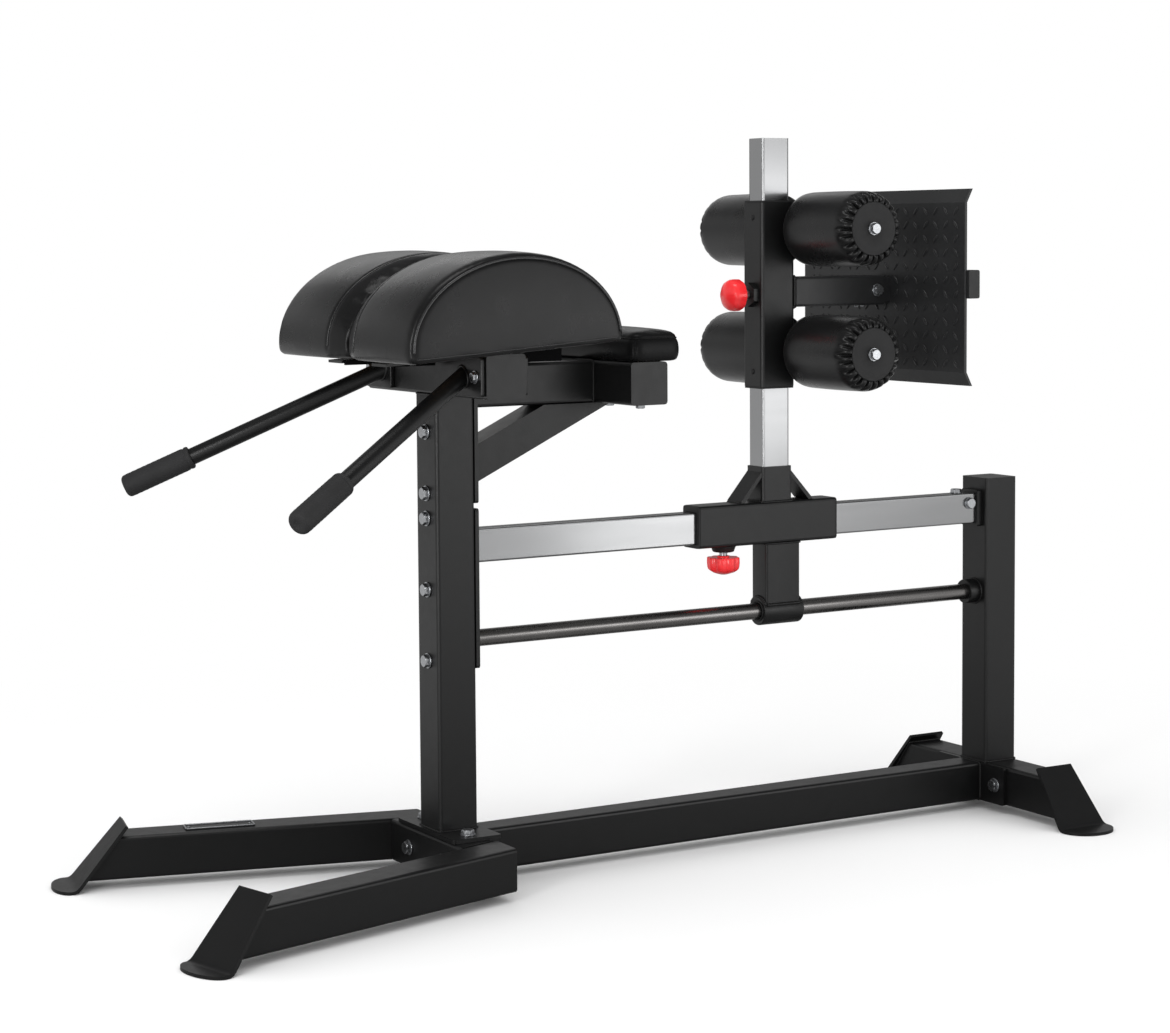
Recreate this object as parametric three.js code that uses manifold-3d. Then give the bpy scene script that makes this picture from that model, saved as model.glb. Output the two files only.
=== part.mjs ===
import * as THREE from "three";
import Module from "manifold-3d";
import { mergeVertices } from "three/addons/utils/BufferGeometryUtils.js";

const wasm = await Module();
wasm.setup();

// A glute ham developer: a steel frame with thigh pads, handles and a small seat pad in front, and a
// carriage on a chrome rail behind, whose mast carries the ankle rollers and the foot plate.
// Millimetres, +X to the rear, +Y to the far side, +Z up. The front post's front face is x = 0.

// General sizes
const clearance = 0.3;
const runningClearance = 0.4;
const overrun = 4;
const weldDepth = 1;
const mergeDistance = 1e-4;
const degree = Math.PI / 180;
const roundSides = 16;
const shaftSides = 10;
const rollerSides = 24;
const cornerSteps = 3;
const sides = { near: -1, far: 1 };

// Frame
const tube = { side: 63.5, wall: 3, corner: 5 };
const base = { floorGap: 14, beamWidth: 50.8, frontLead: 8, postSpacing: 1025 };
const flange = {
  thickness: 6, corner: 4, beamFrontHalfWidth: 74, beamRearHalfWidth: 84, rearBoltOffset: 62, vent: 8,
};
const leg = { width: 60, rootX: 40, rootY: 129, splay: 14 * degree, length: 439, tail: 18 };
const frontFoot = { tilt: 40 * degree, rise: 14, topWidth: 67, bottomWidth: 92, flange: 34, thickness: 5 };
const rearFoot = { tilt: 38 * degree, rise: 10.5, topWidth: 70, bottomWidth: 92, flange: 48, thickness: 5 };
const rearCross = { halfLength: 158 };
const label = { length: 105, width: 30, thickness: 1.6, rim: 2, pocket: 0.7, fromFoot: 140 };
const postPlate = { thickness: 6, overhang: 8, halfWidth: 88, corner: 4, boltX: 27, boltY: 66 };
const frontPost = { height: 641 };
const rearPost = { aboveRail: 24.8 };
const frontBoltY = 52;

// Top of the front post
const padTube = { halfLength: 182 };
const ear = { width: 44, reach: 112, thickness: 4, centreY: 70, screwRadius: 6, screwHeight: 4 };
const strutPlate = { below: 161, topGap: 0.5, lowBoltRise: 16, boltSpacing: 90 };
const topTube = { width: 50, length: 202, drop: 21.5 };
const strut = { side: 50, tilt: 25 * degree, footBelow: 131 };
const seatTube = { halfLength: 130, innerScrewY: 20, outerScrewY: 105, screwRadius: 4 };

// Pads
const thighPad = {
  innerY: 2, outerY: 216, centreX: 36.5, halfLength: 176.5, height: 142, edge: 12, tilt: 4 * degree,
  grooveWidth: 40, grooveDepth: 25, seamWidth: 3, seamDepth: 2.2, endRound: 10, endCrown: 3, crown: 2.5,
};
const board = { thickness: 9, inset: 14 };
const seatPad = { length: 87, halfWidth: 135, height: 47, overhang: 2, corner: 16, crown: 4, seamHeight: 33 };
const seatPadSideShares = [[0, 0.5], [0.25, 0], [0.8, 0], [1, 0.33]];
const seatPadTopShares = [[0.35, 0.6], [0.7, 1.6], [0.9, 3.2]];
const grooveShares = { reach: 0.5, depth: 0.33 };
const tipShare = 0.33;
const padArcSteps = 24;

// Handles
const handle = { radius: 12.7, startY: 122, startRise: 34, yaw: 27.2 * degree, dip: 24 * degree, length: 425 };
const handlePlate = { innerY: 97, outerY: 178, margin: 4, thickness: 6, backInnerY: 130, boltY: 160 };
const grip = { radius: 17.2, length: 110, endWall: 6, endRound: 7 };

// Rail and rod
const rail = { width: 30, height: 50, wall: 2.5, corner: 3, rearGap: 10 };
const railFlange = { topGap: 7.8, height: 236, boltInset: 13, railRise: 154, rodRise: 40 };
const stub = {
  length: 36, plateWidth: 40, plateHeight: 60, sideBoltBack: 23, sideBoltRise: 34, stopBoltBack: 38,
};
const rod = { radius: 12.7, socketRadius: 19, socketLength: 20 };

// Bolts
const bolt = {
  radius: 6, head: 17, headHeight: 6.5, washerRadius: 11.5, washerHeight: 2, nutHeight: 8, tail: 4,
};
const smallBolt = { radius: 5, head: 15, headHeight: 5.5 };

// Carriage on the rail
const sleeve = { front: 467, length: 257, width: 44, height: 66, lift: 6, wall: 3, corner: 5, lip: 3 };
const mast = { width: 50.8, depth: 38.1, wall: 2.5, corner: 4, front: 586.6, height: 566.7 };
const neck = { wall: 2.7, height: 55, corner: 5 };
const brace = { width: 38, thickness: 6, frontReach: 38, rearReach: 40, drop: 7 };
const lowerNeck = { front: 592, length: 65, width: 40, wall: 3, corner: 4 };
const rodSleeve = { radius: 22.5, front: 588, length: 76 };
const hole = { radius: 6.6, railPitch: 31, railBefore: 4, railAfter: 8, mastPitch: 30, mastEachWay: 3 };
const pin = { radius: 6, engagement: 4, tipRound: 2, collarRadius: 7.5, railPinX: 524 };
const housing = { topRadius: 19, bottomRadius: 16.5, height: 9 };
const knob = {
  radius: 26, valley: 3.4, lobes: 8, height: 27, edge: 4, crownRadius: 11, crownHeight: 3, bore: 14,
};
const knobStepsPerLobe = 5;
const railKnobGap = 9;
const mastKnobGap = 17;

// Roller carriage on the mast
const rollerSleeve = { rise: 180.7, length: 286, wall: 3, wallGap: 3, corner: 5, lip: 3, pinRise: 143 };
const roller = {
  radius: 55, axisBehind: 20.6, spacing: 190, rise: 149, end: 197, round: 9, discRadius: 41, recess: 3,
};
const hub = { radius: 21, halfLength: 38, gussetHalfHeight: 14, gussetHalfWidth: 20 };
const axle = { radius: 10, washerRadius: 15, washerHeight: 2.5, head: 19, headHeight: 8 };
const arm = { width: 50, height: 47, wall: 3, corner: 4, rise: 146.5, length: 176, boltBack: 15 };
const footPlate = {
  halfWidth: 205, thickness: 4.5, gap: 13, rise: 16, height: 272, lip: 16, lipFlare: 11, insert: 60, lipBend: 5,
};
const lipCurveShare = 0.25;
const backing = { depth: 22, height: 44, wall: 2.5, corner: 3, rise: 157, halfLength: 208 };

// Heights and places that follow from the sizes above
const baseTop = base.floorGap + tube.side;
const postPlateTop = baseTop + clearance + postPlate.thickness;
const frontPostTop = postPlateTop + frontPost.height;
const padTubeBottom = frontPostTop + clearance;
const padTubeTop = padTubeBottom + tube.side;
const padBottom = padTubeTop + clearance;
const flangeFront = tube.side + clearance;
const flangeRear = flangeFront + flange.thickness;
const topTubeBottom = frontPostTop - topTube.drop;
const topTubeFront = flangeRear + clearance;
const seatTubeFront = topTubeFront + topTube.length + clearance;
const rearPostFront = base.postSpacing;
const rearPostRear = rearPostFront + tube.side;
const rearPostBottom = baseTop + clearance;
const crossFront = -base.frontLead;
const crossRear = crossFront + tube.side;
const strutPlateBottom = frontPostTop - strutPlate.below;
const railFlangeTop = strutPlateBottom - railFlange.topGap;
const railFlangeBottom = railFlangeTop - railFlange.height;
const railUnderside = railFlangeBottom + railFlange.railRise;
const rodHeight = railFlangeBottom + railFlange.rodRise;
const railTop = railUnderside + rail.height;
const railMiddle = railUnderside + rail.height / 2;
const railRear = rearPostFront - rail.rearGap;
const rearPostTop = railTop + rearPost.aboveRail;
const sleeveBottom = railUnderside - sleeve.lift;
const sleeveTop = sleeveBottom + sleeve.height;
const mastMiddle = mast.front + mast.width / 2;
const mastBottom = sleeveTop + clearance;
const mastTop = mastBottom + mast.height;
const rollerSleeveBottom = mastBottom + rollerSleeve.rise;
const rollerSleeveTop = rollerSleeveBottom + rollerSleeve.length;
const mastPinHeight = rollerSleeveBottom + rollerSleeve.pinRise;
const rollerCentre = rollerSleeveBottom + roller.rise;
const armHeight = rollerSleeveBottom + arm.rise;
const backingHeight = rollerSleeveBottom + backing.rise;
const rollerSleeveFront = mast.front - rollerSleeve.wallGap - rollerSleeve.wall;
const rollerSleeveWidth = mast.width + 2 * (rollerSleeve.wallGap + rollerSleeve.wall);
const rollerSleeveDepth = mast.depth + 2 * (rollerSleeve.wallGap + rollerSleeve.wall);
const rollerSleeveRear = rollerSleeveFront + rollerSleeveWidth;
const rollerX = rollerSleeveRear + roller.axisBehind;
const armFront = rollerSleeveRear + clearance;
const armRear = armFront + arm.length;
const footPlateFront = armRear + footPlate.gap;

const materials = {
  blackPaint: new THREE.MeshStandardMaterial({ color: 0x1c1d1f, roughness: 0.42, metalness: 0.4 }),
  chrome: new THREE.MeshStandardMaterial({ color: 0xd4d6d8, roughness: 0.12, metalness: 1 }),
  gunmetal: new THREE.MeshStandardMaterial({ color: 0x5c5f62, roughness: 0.3, metalness: 1 }),
  zinc: new THREE.MeshStandardMaterial({ color: 0xb9bcbf, roughness: 0.3, metalness: 1 }),
  vinyl: new THREE.MeshStandardMaterial({ color: 0x18191a, roughness: 0.5, metalness: 0 }),
  rubber: new THREE.MeshStandardMaterial({ color: 0x1f2021, roughness: 0.75, metalness: 0 }),
  redPlastic: new THREE.MeshStandardMaterial({ color: 0xd8121a, roughness: 0.3, metalness: 0 }),
  darkPlastic: new THREE.MeshStandardMaterial({ color: 0x121314, roughness: 0.55, metalness: 0 }),
  plywood: new THREE.MeshStandardMaterial({ color: 0x6b543a, roughness: 0.8, metalness: 0 }),
  label: new THREE.MeshStandardMaterial({ color: 0x2a2b2d, roughness: 0.35, metalness: 0.6 }),
};

// Solids

function positionsOnly(geometry) {
  const bare = new THREE.BufferGeometry();
  bare.setAttribute("position", geometry.getAttribute("position"));
  bare.setIndex(geometry.index);
  return mergeVertices(bare, mergeDistance);
}

function signedVolume(geometry) {
  const at = geometry.getAttribute("position");
  const order = geometry.index.array;
  const corners = [new THREE.Vector3(), new THREE.Vector3(), new THREE.Vector3()];
  let total = 0;
  for (let i = 0; i < order.length; i += 3) {
    corners.forEach((corner, k) => corner.fromBufferAttribute(at, order[i + k]));
    total += corners[0].dot(corners[1].cross(corners[2])) / 6;
  }
  return total;
}

// A profile or a row of rings may run either way, and its faces are turned outwards here.
function outward(geometry) {
  const closed = positionsOnly(geometry);
  if (signedVolume(closed) < 0) {
    const order = closed.index.array;
    for (let i = 0; i < order.length; i += 3) {
      [order[i + 1], order[i + 2]] = [order[i + 2], order[i + 1]];
    }
  }
  return closed;
}

function toSolid(geometry) {
  const closed = positionsOnly(geometry);
  const mesh = new wasm.Mesh({
    numProp: 3,
    vertProperties: closed.getAttribute("position").array,
    triVerts: new Uint32Array(closed.index.array),
  });
  return new wasm.Manifold(mesh);
}

function toGeometry(solid) {
  const mesh = solid.getMesh();
  const geometry = new THREE.BufferGeometry();
  geometry.setAttribute("position", new THREE.BufferAttribute(new Float32Array(mesh.vertProperties), 3));
  geometry.setIndex(new THREE.BufferAttribute(new Uint32Array(mesh.triVerts), 1));
  geometry.computeVertexNormals();
  return geometry;
}

function join(...pieces) {
  return toGeometry(pieces.map(toSolid).reduce((whole, piece) => whole.add(piece)));
}

function cut(body, ...tools) {
  return toGeometry(tools.map(toSolid).reduce((whole, tool) => whole.subtract(tool), toSolid(body)));
}

function common(...pieces) {
  return toGeometry(pieces.map(toSolid).reduce((whole, piece) => whole.intersect(piece)));
}

// Outlines

function circle(radius, u = 0, v = 0, count = roundSides) {
  const points = [];
  for (let i = 0; i < count; i += 1) {
    const angle = (2 * Math.PI * (i + 0.5)) / count;
    points.push(new THREE.Vector2(u + radius * Math.cos(angle), v + radius * Math.sin(angle)));
  }
  return points;
}

function hexagon(acrossFlats, u = 0, v = 0) {
  return circle(acrossFlats / Math.sqrt(3), u, v, 6);
}

function rectangle(width, height, corner, u = 0, v = 0) {
  const points = [];
  const centres = [[1, 1], [-1, 1], [-1, -1], [1, -1]];
  centres.forEach(([right, up], quarter) => {
    for (let i = 0; i <= cornerSteps; i += 1) {
      const angle = (quarter + i / cornerSteps) * (Math.PI / 2);
      const x = u + right * (width / 2 - corner) + corner * Math.cos(angle);
      const y = v + up * (height / 2 - corner) + corner * Math.sin(angle);
      points.push(new THREE.Vector2(x, y));
    }
  });
  return points;
}

function tubeSection(width, height, corner, wall, u = 0, v = 0) {
  const outline = new THREE.Shape(rectangle(width, height, corner, u, v));
  const inner = rectangle(width - 2 * wall, height - 2 * wall, Math.max(corner - wall, corner / 4), u, v);
  outline.holes.push(new THREE.Path(inner));
  return outline;
}

function section(points) {
  return new THREE.Shape(points);
}

function outline(pairs) {
  return section(pairs.map(([u, v]) => new THREE.Vector2(u, v)));
}

// Extrusions of an outline: drawn in y and z and pushed along x, in x and z along y, in x and y along z.

function pushed(shape, depth) {
  return new THREE.ExtrudeGeometry(shape, { depth, bevelEnabled: false });
}

const yzToX = new THREE.Matrix4().makeBasis(
  new THREE.Vector3(0, 1, 0), new THREE.Vector3(0, 0, 1), new THREE.Vector3(1, 0, 0),
);

function alongX(shape, from, to) {
  return pushed(shape, to - from).applyMatrix4(yzToX).translate(from, 0, 0);
}

function alongY(shape, from, to) {
  return pushed(shape, to - from).rotateX(Math.PI / 2).translate(0, to, 0);
}

function alongZ(shape, from, to) {
  return pushed(shape, to - from).translate(0, 0, from);
}

function block(x, y, z) {
  const box = new THREE.BoxGeometry(x[1] - x[0], y[1] - y[0], z[1] - z[0]);
  return box.translate((x[0] + x[1]) / 2, (y[0] + y[1]) / 2, (z[0] + z[1]) / 2);
}

// A profile of [radius, height] pairs turned about z.
function turned(pairs, count = roundSides) {
  const profile = pairs.map(([radius, height]) => new THREE.Vector2(radius, height));
  return outward(new THREE.LatheGeometry(profile, count).rotateX(Math.PI / 2));
}

function span(middle, half) {
  return [middle - half, middle + half];
}

// Rings of equal point counts joined in a row, with a fan to the middle of each end ring.
function loft(rings, firstTip, lastTip) {
  const count = rings[0].length;
  const points = [...rings.flat(), firstTip, lastTip];
  const order = [];
  for (let r = 0; r + 1 < rings.length; r += 1) {
    for (let i = 0; i < count; i += 1) {
      const next = (i + 1) % count;
      const [a, b] = [r * count + i, r * count + next];
      const [c, d] = [a + count, b + count];
      order.push(a, b, d, a, d, c);
    }
  }
  const first = points.length - 2;
  const last = points.length - 1;
  const lastRing = (rings.length - 1) * count;
  for (let i = 0; i < count; i += 1) {
    const next = (i + 1) % count;
    order.push(first, next, i, last, lastRing + i, lastRing + next);
  }
  const geometry = new THREE.BufferGeometry().setFromPoints(points);
  geometry.setIndex(order);
  return outward(geometry);
}

// Bolts: the washer's underside is at z = 0, the head above it and the shaft below, with a nut past the grip.

function hexBolt(size, gripLength) {
  const nutTop = -gripLength - 2 * clearance;
  const round = section(circle(size.washerRadius, 0, 0, roundSides));
  const washer = alongZ(round, clearance, clearance + size.washerHeight);
  const headBottom = clearance + size.washerHeight - weldDepth;
  const head = alongZ(section(hexagon(size.head)), headBottom, headBottom + weldDepth + size.headHeight);
  const shaftEnd = nutTop - size.nutHeight - size.tail;
  const shaft = alongZ(section(circle(size.radius, 0, 0, shaftSides)), shaftEnd, headBottom + weldDepth);
  const nut = alongZ(section(hexagon(size.head)), nutTop - size.nutHeight, nutTop);
  return join(shaft, washer, head, nut);
}

function boltHole(size, centre, axis, from, to) {
  const [u, v] = centre;
  const shape = section(circle(size.radius + runningClearance, u, v, shaftSides));
  return { x: alongX, y: alongY, z: alongZ }[axis](shape, from, to);
}

// Feet: a plate leaning out at the end of a tube, bent out along the floor into a round tongue.
// Drawn along +x, with the plate's inner face at x = 0 where its top edge is.

function footHeight(foot) {
  return baseTop + foot.rise;
}

function footPlateSolid(foot) {
  const height = footHeight(foot);
  const lean = Math.tan(foot.tilt);
  const bend = height * lean;
  const across = foot.thickness * Math.cos(foot.tilt);
  const lift = foot.thickness * Math.sin(foot.tilt);
  const innerBend = across + (height + lift - foot.thickness) * lean;
  const reach = bend + foot.flange;
  const profile = outline([
    [0, height], [bend, 0], [reach, 0], [reach, foot.thickness], [innerBend, foot.thickness],
    [across, height + lift],
  ]);
  const half = foot.bottomWidth / 2;
  const strip = alongY(profile, -half, half);
  const topHalf = foot.topWidth / 2;
  const front = alongX(
    outline([[-half, 0], [half, 0], [topHalf, height + lift], [-topHalf, height + lift]]),
    -overrun, reach + overrun,
  );
  const tongue = [new THREE.Vector2(-overrun, -half), new THREE.Vector2(bend, -half)];
  const tongueSteps = 10;
  for (let i = 1; i < tongueSteps; i += 1) {
    const angle = (i / tongueSteps - 0.5) * Math.PI;
    tongue.push(new THREE.Vector2(bend + foot.flange * Math.cos(angle), half * Math.sin(angle)));
  }
  tongue.push(new THREE.Vector2(bend, half), new THREE.Vector2(-overrun, half));
  const plan = alongZ(section(tongue), -overrun, height + lift + overrun);
  return common(strip, front, plan);
}

// All that lies beyond the foot plate's inner face, less the clearance.
function beyondFoot(foot, halfWidth) {
  const lean = Math.tan(foot.tilt);
  const height = footHeight(foot);
  const gap = clearance / Math.cos(foot.tilt);
  const far = height * lean + foot.flange;
  const shape = outline([
    [-overrun * lean - gap, height + overrun],
    [(height + overrun) * lean - gap, -overrun],
    [far, -overrun],
    [far, height + overrun],
  ]);
  return alongY(shape, -halfWidth, halfWidth);
}

// Front legs, drawn along +x from the root, then turned to their splay.

function legMatrix(side) {
  const place = new THREE.Matrix4().makeTranslation(leg.rootX, side * leg.rootY, 0);
  return place.multiply(new THREE.Matrix4().makeRotationZ(side * (Math.PI - leg.splay)));
}

function legSolid(side) {
  const middle = base.floorGap + tube.side / 2;
  const far = leg.length + footHeight(frontFoot) * Math.tan(frontFoot.tilt);
  const back = -leg.tail - leg.width;
  const outer = alongX(section(rectangle(leg.width, tube.side, tube.corner, 0, middle)), back, far);
  const inside = [leg.width - 2 * tube.wall, tube.side - 2 * tube.wall, tube.corner - tube.wall];
  const hollow = alongX(section(rectangle(...inside, 0, middle)), back, far);
  const behind = (room) => {
    const reach = leg.length;
    const box = block([-reach, -room], [-reach, reach], [-overrun, baseTop + overrun]);
    return box.rotateZ(-side * (Math.PI - leg.splay) + Math.PI);
  };
  const foot = beyondFoot(frontFoot, leg.width).translate(leg.length, 0, 0);
  const body = cut(outer, behind(leg.tail), foot);
  return cut(body, cut(hollow, behind(leg.tail - tube.wall)));
}

function frontCrossSolid() {
  const middle = [crossFront + tube.side / 2, base.floorGap + tube.side / 2];
  const reach = leg.rootY + leg.width;
  const whole = alongY(tubeSection(tube.side, tube.side, tube.corner, tube.wall, ...middle), -reach, reach);
  const outside = Object.values(sides).map((side) => {
    const inner = leg.width / 2 + clearance;
    const width = side > 0 ? [-leg.rootY, inner] : [-inner, leg.rootY];
    const box = block([-leg.length, leg.length], width, [0, baseTop + overrun]);
    return box.applyMatrix4(legMatrix(side));
  });
  const height = base.floorGap + tube.side / 2;
  const holes = Object.values(sides).flatMap((side) => [
    boltHole(bolt, [side * frontBoltY, height], "x", crossFront - overrun, crossRear + overrun),
    boltHole(bolt, [postPlate.boltX, side * postPlate.boltY], "z", baseTop - 2 * tube.wall, baseTop + overrun),
  ]);
  return cut(whole, ...outside, ...holes);
}

function labelSolid() {
  const plate = alongZ(section(rectangle(label.length, label.width, label.rim)), 0, label.thickness);
  const pocket = rectangle(label.length - 2 * label.rim, label.width - 2 * label.rim, label.rim / 2);
  return cut(plate, alongZ(section(pocket), label.thickness - label.pocket, label.thickness + overrun));
}

// Base beam with a flange at each end

function beamSolid() {
  const middle = base.floorGap + tube.side / 2;
  const front = crossRear + clearance;
  const rear = rearPostFront - clearance;
  const body = alongX(
    tubeSection(base.beamWidth, tube.side, tube.corner, tube.wall, 0, middle),
    front + weldDepth, rear - weldDepth,
  );
  const plateAt = (from, halfWidth) => {
    const shape = section(rectangle(2 * halfWidth, tube.side - 2 * clearance, flange.corner, 0, middle));
    return alongX(shape, from, from + flange.thickness);
  };
  const whole = join(body, plateAt(front, flange.beamFrontHalfWidth));
  const both = join(whole, plateAt(rear - flange.thickness, flange.beamRearHalfWidth));
  const holes = Object.values(sides).flatMap((side) => [
    boltHole(bolt, [side * frontBoltY, middle], "x", front - overrun, front + flange.thickness + overrun),
    boltHole(
      bolt, [side * flange.rearBoltOffset, middle], "x", rear - flange.thickness - overrun, rear + overrun,
    ),
  ]);
  const vent = section(circle(flange.vent, 0, middle));
  return cut(both, ...holes, alongX(vent, front - overrun, front + flange.thickness + overrun));
}

function rearCrossSolid() {
  const middle = [rearPostFront + tube.side / 2, base.floorGap + tube.side / 2];
  const far = rearCross.halfLength + footHeight(rearFoot) * Math.tan(rearFoot.tilt);
  const whole = alongY(tubeSection(tube.side, tube.side, tube.corner, tube.wall, ...middle), -far, far);
  const ends = Object.values(sides).map((side) => beyondFoot(rearFoot, rearFoot.bottomWidth)
    .rotateZ(side * Math.PI / 2)
    .translate(middle[0], side * rearCross.halfLength, 0));
  const height = base.floorGap + tube.side / 2;
  const holes = Object.values(sides).map((side) => boltHole(
    bolt, [side * flange.rearBoltOffset, height], "x", rearPostFront - overrun, rearPostRear + overrun,
  ));
  return cut(whole, ...ends, ...holes);
}

// Posts

function frontPostSolid() {
  const middle = tube.side / 2;
  const plateSize = [tube.side + 2 * postPlate.overhang, 2 * postPlate.halfWidth, postPlate.corner];
  const plate = alongZ(section(rectangle(...plateSize, middle, 0)), baseTop + clearance, postPlateTop);
  const post = alongZ(
    tubeSection(tube.side, tube.side, tube.corner, tube.wall, middle, 0),
    postPlateTop - weldDepth, frontPostTop,
  );
  const plateHoles = Object.values(sides).map((side) => boltHole(
    bolt, [postPlate.boltX, side * postPlate.boltY], "z", baseTop - overrun, postPlateTop + overrun,
  ));
  const postHoles = postBoltHeights().map((height) => boltHole(
    bolt, [0, height], "x", -overrun, tube.side + overrun,
  ));
  return cut(join(plate, post), ...plateHoles, ...postHoles);
}

function strutBoltHeights() {
  const low = strutPlateBottom + strutPlate.lowBoltRise;
  return [low, low + strutPlate.boltSpacing];
}

function railBoltHeights() {
  const low = railFlangeBottom + railFlange.boltInset;
  const high = railFlangeTop - railFlange.boltInset;
  return [low, (low + high) / 2, high];
}

function postBoltHeights() {
  return [...railBoltHeights(), ...strutBoltHeights()];
}

function postFlange(bottom, top, boltHeights) {
  const shape = section(rectangle(tube.side, top - bottom, flange.corner, 0, (top + bottom) / 2));
  const holes = boltHeights.map((height) => boltHole(
    bolt, [0, height], "x", flangeFront - overrun, flangeRear + overrun,
  ));
  return cut(alongX(shape, flangeFront, flangeRear), ...holes);
}

// The rear post carries the rod's socket and the stub that the rail slides over, with its two bolts.
function rearPostSolid() {
  const middle = rearPostFront + tube.side / 2;
  const square = section(rectangle(tube.side, tube.side, tube.corner, middle, 0));
  const outer = alongZ(square, rearPostBottom, rearPostTop);
  const boreSide = tube.side - 2 * tube.wall;
  const bore = section(rectangle(boreSide, boreSide, tube.corner - tube.wall, middle, 0));
  const post = cut(outer, alongZ(bore, rearPostBottom - overrun, rearPostTop - tube.wall));
  const plate = alongX(
    section(rectangle(stub.plateWidth, stub.plateHeight, rail.corner, 0, railMiddle)),
    railRear + clearance, rearPostFront + weldDepth,
  );
  const play = 2 * (rail.wall + runningClearance);
  const insert = alongX(
    section(rectangle(rail.width - play, rail.height - play, rail.corner / 2, 0, railMiddle)),
    railRear - stub.length, railRear + 2 * clearance + weldDepth,
  );
  const socketFront = rearPostFront - rod.socketLength;
  const socketRing = section(circle(rod.socketRadius, 0, rodHeight));
  const socket = alongX(socketRing, socketFront, rearPostFront + weldDepth);
  const rodRoom = section(circle(rod.radius + clearance, 0, rodHeight));
  const socketBore = alongX(rodRoom, socketFront - overrun, rearPostFront);
  const sideX = rearPostFront - stub.sideBoltBack;
  const sideZ = railUnderside + stub.sideBoltRise;
  const halfOut = rail.width / 2 + clearance;
  const sideRound = section(circle(smallBolt.radius, sideX, sideZ, shaftSides));
  const sideShaft = alongY(sideRound, -halfOut - weldDepth, 0);
  const sideHead = alongY(
    section(hexagon(smallBolt.head, sideX, sideZ)), -halfOut - smallBolt.headHeight, -halfOut,
  );
  const stopX = rearPostFront - stub.stopBoltBack;
  const stopRound = section(circle(smallBolt.radius, stopX, 0, shaftSides));
  const stopShaft = alongZ(stopRound, railMiddle, railTop + clearance + weldDepth);
  const stopHead = alongZ(
    section(hexagon(smallBolt.head, stopX, 0)), railTop + clearance, railTop + clearance + smallBolt.headHeight,
  );
  return cut(join(post, plate, insert, sideShaft, sideHead, stopShaft, stopHead, socket), socketBore);
}

// Pad tube on the post, with an ear in front and behind for each pad

function padTubeSolid() {
  const middle = [tube.side / 2, padTubeBottom + tube.side / 2];
  const innerSide = tube.side - 2 * tube.wall;
  const square = section(rectangle(tube.side, tube.side, tube.corner, ...middle));
  const outer = alongY(square, ...span(0, padTube.halfLength));
  const inner = section(rectangle(innerSide, innerSide, tube.corner - tube.wall, ...middle));
  const hollow = cut(outer, alongY(inner, ...span(0, padTube.halfLength - tube.wall)));
  const earTop = padTubeTop - tube.corner;
  const ears = Object.values(sides).flatMap((side) => {
    const width = span(side * ear.centreY, ear.width / 2);
    const height = [earTop - ear.thickness, earTop];
    const rear = tube.side;
    const screw = (x) => {
      const round = section(circle(ear.screwRadius, x, side * ear.centreY, shaftSides));
      return alongZ(round, height[0] - ear.screwHeight, height[0] + weldDepth);
    };
    return [
      block([-ear.reach, weldDepth], width, height),
      block([rear - 2 * weldDepth, rear + ear.reach], width, height),
      screw(-ear.reach / 2),
      screw(rear + ear.reach / 2),
    ].map(leant);
  });
  const holes = Object.values(sides).map((side) => boltHole(
    smallBolt, [side * handlePlate.boltY, middle[1]], "x", -overrun, tube.side + overrun,
  ));
  return cut(join(hollow, ...ears), ...holes);
}

function topTubeSolid() {
  const middle = topTubeBottom + tube.side / 2;
  return alongX(
    tubeSection(topTube.width, tube.side, tube.corner, tube.wall, 0, middle),
    topTubeFront, topTubeFront + topTube.length,
  );
}

// The strut's two edges rise from the flange and end under the top tube and the seat tube.
function strutOutline(inset, extend) {
  const slope = Math.tan(strut.tilt);
  const low = frontPostTop - strut.footBelow + inset / Math.cos(strut.tilt);
  const high = low + (strut.side - 2 * inset) / Math.cos(strut.tilt);
  const front = topTubeFront - extend;
  const top = topTubeBottom - clearance + extend;
  const start = topTubeFront;
  return outline([
    [front, low + (front - start) * slope],
    [start + (top - low) / slope, top],
    [start + (top - high) / slope, top],
    [front, high + (front - start) * slope],
  ]);
}

function strutSolid() {
  const outer = alongY(strutOutline(0, 0), ...span(0, strut.side / 2));
  return cut(outer, alongY(strutOutline(tube.wall, overrun), ...span(0, strut.side / 2 - tube.wall)));
}

function seatTubeSolid() {
  const middle = [seatTubeFront + tube.side / 2, topTubeBottom + tube.side / 2];
  const innerSide = tube.side - 2 * tube.wall;
  const outer = section(rectangle(tube.side, tube.side, tube.corner, ...middle));
  const inner = section(rectangle(innerSide, innerSide, tube.corner - tube.wall, ...middle));
  const body = cut(
    alongY(outer, ...span(0, seatTube.halfLength)),
    alongY(inner, ...span(0, seatTube.halfLength - tube.wall)),
  );
  const screws = [seatTube.innerScrewY, seatTube.outerScrewY];
  const holes = Object.values(sides).flatMap((side) => screws.map((y) => alongZ(
    section(circle(seatTube.screwRadius, middle[0], side * y, shaftSides)),
    topTubeBottom - overrun, topTubeBottom + 2 * tube.wall,
  )));
  return cut(body, ...holes);
}

// The thigh pads and their ears lean forwards over the tube's front top edge.
function leant(geometry) {
  return geometry
    .translate(-tube.corner, 0, -padBottom)
    .rotateY(-thighPad.tilt)
    .translate(tube.corner, 0, padBottom);
}

// Thigh pads: a half round section pushed sideways, with a sloping groove side, sewn seams near both
// ends, a soft crown between them and a rounded, slightly domed outer end.

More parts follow.
